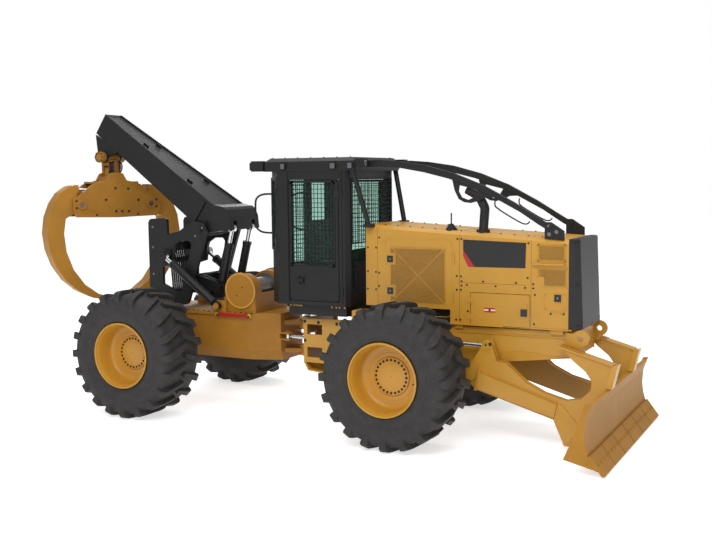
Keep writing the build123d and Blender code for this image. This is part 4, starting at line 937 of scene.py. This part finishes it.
# Arch: hoses from its lower beam to its cross beam
arch_hoses = Piece("arch_hoses", "arch", hose_black, "dark_plastic")
for k in range(8):
    y = -170 + k * 48
    arch_hoses.tube([(-2245, y, 1641), (-2250, y, 1760), (-2262, y, 1920), (-2267, y, 2060), (-2270, y, 2160),
                     (-2290, y, 2236), (-2319, y, 2268)], 14, sides=10)
arch_hoses.use(steel)
for k in range(8):
    y = -170 + k * 48
    arch_hoses.cyl((-2245, y, 1640), (-2246, y, 1668), 20, sides=6)
arch_hoses.build()


# Cab glass: the front and rear panes as they are, and the two quarter panes set in their openings
def cab_panes():
    mesh = nodes["cab_glass"].data.copy()
    mesh.materials.clear()
    mesh.materials.append(glass)
    bm = bmesh.new()
    bm.from_mesh(mesh)
    corner_x, corner_y = point(0, 0, 0).x, 0.45
    outside = [v for v in bm.verts if v.co.x < corner_x and abs(v.co.y) > corner_y]
    bmesh.ops.delete(bm, geom=outside, context="VERTS")
    bm.to_mesh(mesh)
    bm.free()
    finish_piece(placed("cab_panes", mesh), "front", 0, 30, ("cab_glass",))
    quarter = Piece("quarter_panes", "front", glass, "window_glass")
    for side in (-1, 1):
        facing = Vector((-0.7071, side * 0.7071, 0))
        quarter.bar((-140, side * 590, 2341), (-140, side * 590, 3299), 199, 6, facing)
    quarter.build()


cab_panes()

# Cab corners: frames round the quarter windows, with their hinges
for side, tag in machine_sides:
    corner = Piece("quarter_window_frame_" + tag, "front", black, "black_paint", bevel=4)
    run = Vector((220, side * 220, 0)).normalized()
    facing = Vector((-0.7071, side * 0.7071, 0))
    start = Vector((-250, side * 480, 0))
    low, high = 2340.0, 3300.0
    for along in (26, 285):
        q = start + run * along
        corner.bar((q.x, q.y, low - 16), (q.x, q.y, high + 16), 54, 34, facing)
    for z in (low + 8, high - 8):
        a, b = start + run * 4, start + run * 306
        corner.bar((a.x, a.y, z), (b.x, b.y, z), 46, 32, facing)
    for z in (2520, 3130):
        q = start + run * 292 + facing * 22
        corner.bar((q.x, q.y, z - 50), (q.x, q.y, z + 50), 26, 14, facing)
    corner.build()

# Front guard: bolts along its sides and its corners
guard_bolts = Piece("front_guard_bolts", "front", plate_black, "black_paint")
for side in (-1, 1):
    for x, z in ((3950, 2515), (3976, 2480), (3950, 2190), (3952, 1860), (3956, 1500)):
        guard_bolts.bolt((x, side * 500.5, z), (0, side, 0), r=12, h=7)
    for share in (0.3, 0.75):
        for z in (2505, 2000, 1500):
            lean = 44 * (2545 - z) / 1087
            guard_bolts.bolt((3985 + lean + 55 * share, side * (500 - 80 * share), z), (0.82, side * 0.57, 0),
                             r=12, h=7)
guard_bolts.build()

# Risers: bolts through their feet, and a handle loop under each
for side, tag in machine_sides:
    feet = Piece("riser_fittings_" + tag, "front", steel, "bare_steel")
    for x, z in ((3670, 2700), (3770, 2630), (3680, 2600)):
        feet.cyl((x, side * 488, z), (x, side * 497, z), 24, sides=20)
        feet.bolt((x, side * 497, z), (0, side, 0), r=15, h=9)
    feet.use(black)
    feet.tube([(2990, side * 475, 3010), (2985, side * 475, 2960), (3010, side * 475, 2915),
               (3160, side * 475, 2820), (3330, side * 475, 2730), (3400, side * 475, 2722),
               (3432, side * 475, 2752)], 9, sides=10)
    feet.build()

# Blade: seams and bolts of the cutting edge, edge strips of the arms, teeth on the crowns
edge_marks = Piece("cutting_edge_marks", "blade", iron, "dark_iron")
for y in (-1040, -520, 0, 520, 1040):
    edge_marks.bar((4630, y, 31), (4469, y, 243), 3, 3, (0.8, 0, 0.6))
edge_marks.use(yellow_worn)
for k in range(24):
    y = -1495 + k * 130
    edge_marks.bolt((4545, y, 144), (0.8, 0, 0.6), r=15, h=6)
edge_marks.build()
for side, tag in machine_sides:
    arm = Piece("arm_trim_" + tag, "blade", yellow_worn, "yellow_paint", bevel=1.5)
    y = side * 678.0
    arm.bar((2876, y, 884), (3842, y, 573), 12, 6)
    arm.bar((2818, y, 664), (3798, y, 391), 12, 6)
    for k in range(11):
        x = 3875 + k * 26
        z = 1279 - (x - 3851) * 0.282
        arm.bar((x, side * 520, z + 4), (x, side * 560, z + 4), 13, 18, (0.27, 0, 0.96))
        arm.bar((x, side * 632, z + 4), (x, side * 670, z + 4), 13, 18, (0.27, 0, 0.96))
    arm.use(iron)
    for x, z in ((2985, 1235), (2935, 1225)):
        arm.bolt((x, side * 645.5, z), (0, side, 0), r=17, h=12)
    arm.build()


# Frames and arch: bolts, marker plates and the rims of the winch's covers
def front_frame_bolts(side, tag):
    plates = Piece("front_frame_bolts_" + tag, "front", iron, "dark_iron")
    for x, z in ((225, 1335), (440, 1330), (725, 1325), (225, 1070)):
        plates.bolt((x, side * 450.5, z), (0, side, 0), r=16, h=10)
    plates.build()


winch_x, winch_z = -840, 1710


def rear_frame_marks(side, tag):
    rear_marks = Piece("rear_frame_marks_" + tag, "rear", iron, "dark_iron")
    for k in range(15):
        x = -640 - k * 92
        if not -1240 < x < -1100:
            rear_marks.bolt((x, side * 467, 1395.5), (0, 0, 1), r=11, h=8)
    for x in (-1205, -665):
        rear_marks.bolt((x, side * 510.5, 1352), (0, side, 0), r=13, h=10)
    rear_marks.use(warning)
    for x0, x1 in ((-1232, -1196), (-676, -638)):
        rear_marks.plate(x0, x1, side, 481.0, 511.5, 1338, 1387)
    rear_marks.use(iron)
    for x, z in ((-800, 1760), (-900, 1640)):
        rear_marks.cyl((x, side * 449.0, z), (x, side * 451.5, z), 12, sides=18)
    rear_marks.use(yellow)
    rear_marks.lathe((winch_x, side * 450, winch_z), (0, side, 0),
                     [(-2, 258), (3, 256), (5, 250), (5, 236), (1, 232), (-1, 230)], sides=64)
    rear_marks.build()


def arch_bolts(side, tag):
    arch_marks = Piece("arch_bolts_" + tag, "arch", steel, "bare_steel")
    for x, z in ((-2380, 2600), (-2380, 2300), (-2380, 1900), (-1600, 2480), (-1480, 2600)):
        arch_marks.bolt((x, side * 450.5, z), (0, side, 0), r=14, h=8)
    arch_marks.build()


for side, tag in machine_sides:
    for build_piece in (front_frame_bolts, rear_frame_marks, arch_bolts):
        build_piece(side, tag)


# Floor and light
def ray_mask(kit, links, *kinds):
    """One for rays of the given kinds, and nothing for the rest."""
    path = kit.new("ShaderNodeLightPath")
    mask = path.outputs[kinds[0]]
    for kind in kinds[1:]:
        either = kit.new("ShaderNodeMath")
        either.operation = "MAXIMUM"
        links.new(mask, either.inputs[0])
        links.new(path.outputs[kind], either.inputs[1])
        mask = either.outputs["Value"]
    return mask


def white_floor(half=60.0):
    """A pale floor, half its width in metres, that looks white to the camera and keeps its shadow."""
    mesh = bpy.data.meshes.new("floor")
    mesh.from_pydata([(-half, -half, 0), (half, -half, 0), (half, half, 0), (-half, half, 0)], [],
                     [(0, 1, 2, 3)])
    floor = placed("floor", mesh)
    material, kit, links, shader = new_material("floor_white")
    shader.inputs["Base Color"].default_value = (0.93, 0.925, 0.93, 1)
    shader.inputs["Roughness"].default_value = 0.8
    shader.inputs["Specular IOR Level"].default_value = 0.1
    lift = kit.new("ShaderNodeMath")
    lift.operation = "MULTIPLY"
    lift.inputs[1].default_value = 0.62
    links.new(ray_mask(kit, links, "Is Camera Ray", "Is Glossy Ray", "Is Transmission Ray"), lift.inputs[0])
    shader.inputs["Emission Color"].default_value = (1, 1, 1, 1)
    links.new(lift.outputs["Value"], shader.inputs["Emission Strength"])
    mesh.materials.append(material)


def white_world():
    """Soft light from all round, and plain white where the camera looks past the floor."""
    world = bpy.data.worlds.new("studio")
    bpy.context.scene.world = world
    world.use_nodes = True
    kit, links = world.node_tree.nodes, world.node_tree.links
    soft = kit["Background"]
    soft.inputs["Color"].default_value = (1, 1, 1, 1)
    soft.inputs["Strength"].default_value = 0.5
    seen = kit.new("ShaderNodeBackground")
    seen.inputs["Color"].default_value = (1, 1, 1, 1)
    seen.inputs["Strength"].default_value = 1.0
    choose = kit.new("ShaderNodeMixShader")
    links.new(ray_mask(kit, links, "Is Camera Ray", "Is Transmission Ray"), choose.inputs["Fac"])
    links.new(soft.outputs["Background"], choose.inputs[1])
    links.new(seen.outputs["Background"], choose.inputs[2])
    links.new(choose.outputs["Shader"], kit["World Output"].inputs["Surface"])


def area_light(name, place, aim, size, power):
    """A soft lamp at place, turned to aim, both in metres."""
    data = bpy.data.lights.new(name, "AREA")
    data.shape = "RECTANGLE"
    data.size, data.size_y = size
    data.energy = power
    lamp = placed(name, data)
    lamp.location = place
    lamp.rotation_euler = (Vector(aim) - Vector(place)).to_track_quat("-Z", "Y").to_euler()


white_floor()
white_world()
area_light("key", (4.0, -11.0, 10.0), (0.5, 0, 1.4), (9, 6), 800)
area_light("top", (0.0, 1.0, 12.0), (0.0, 0, 1.0), (14, 9), 720)
area_light("rim_light", (-9.0, 8.0, 7.0), (0.0, 0, 1.4), (7, 5), 380)
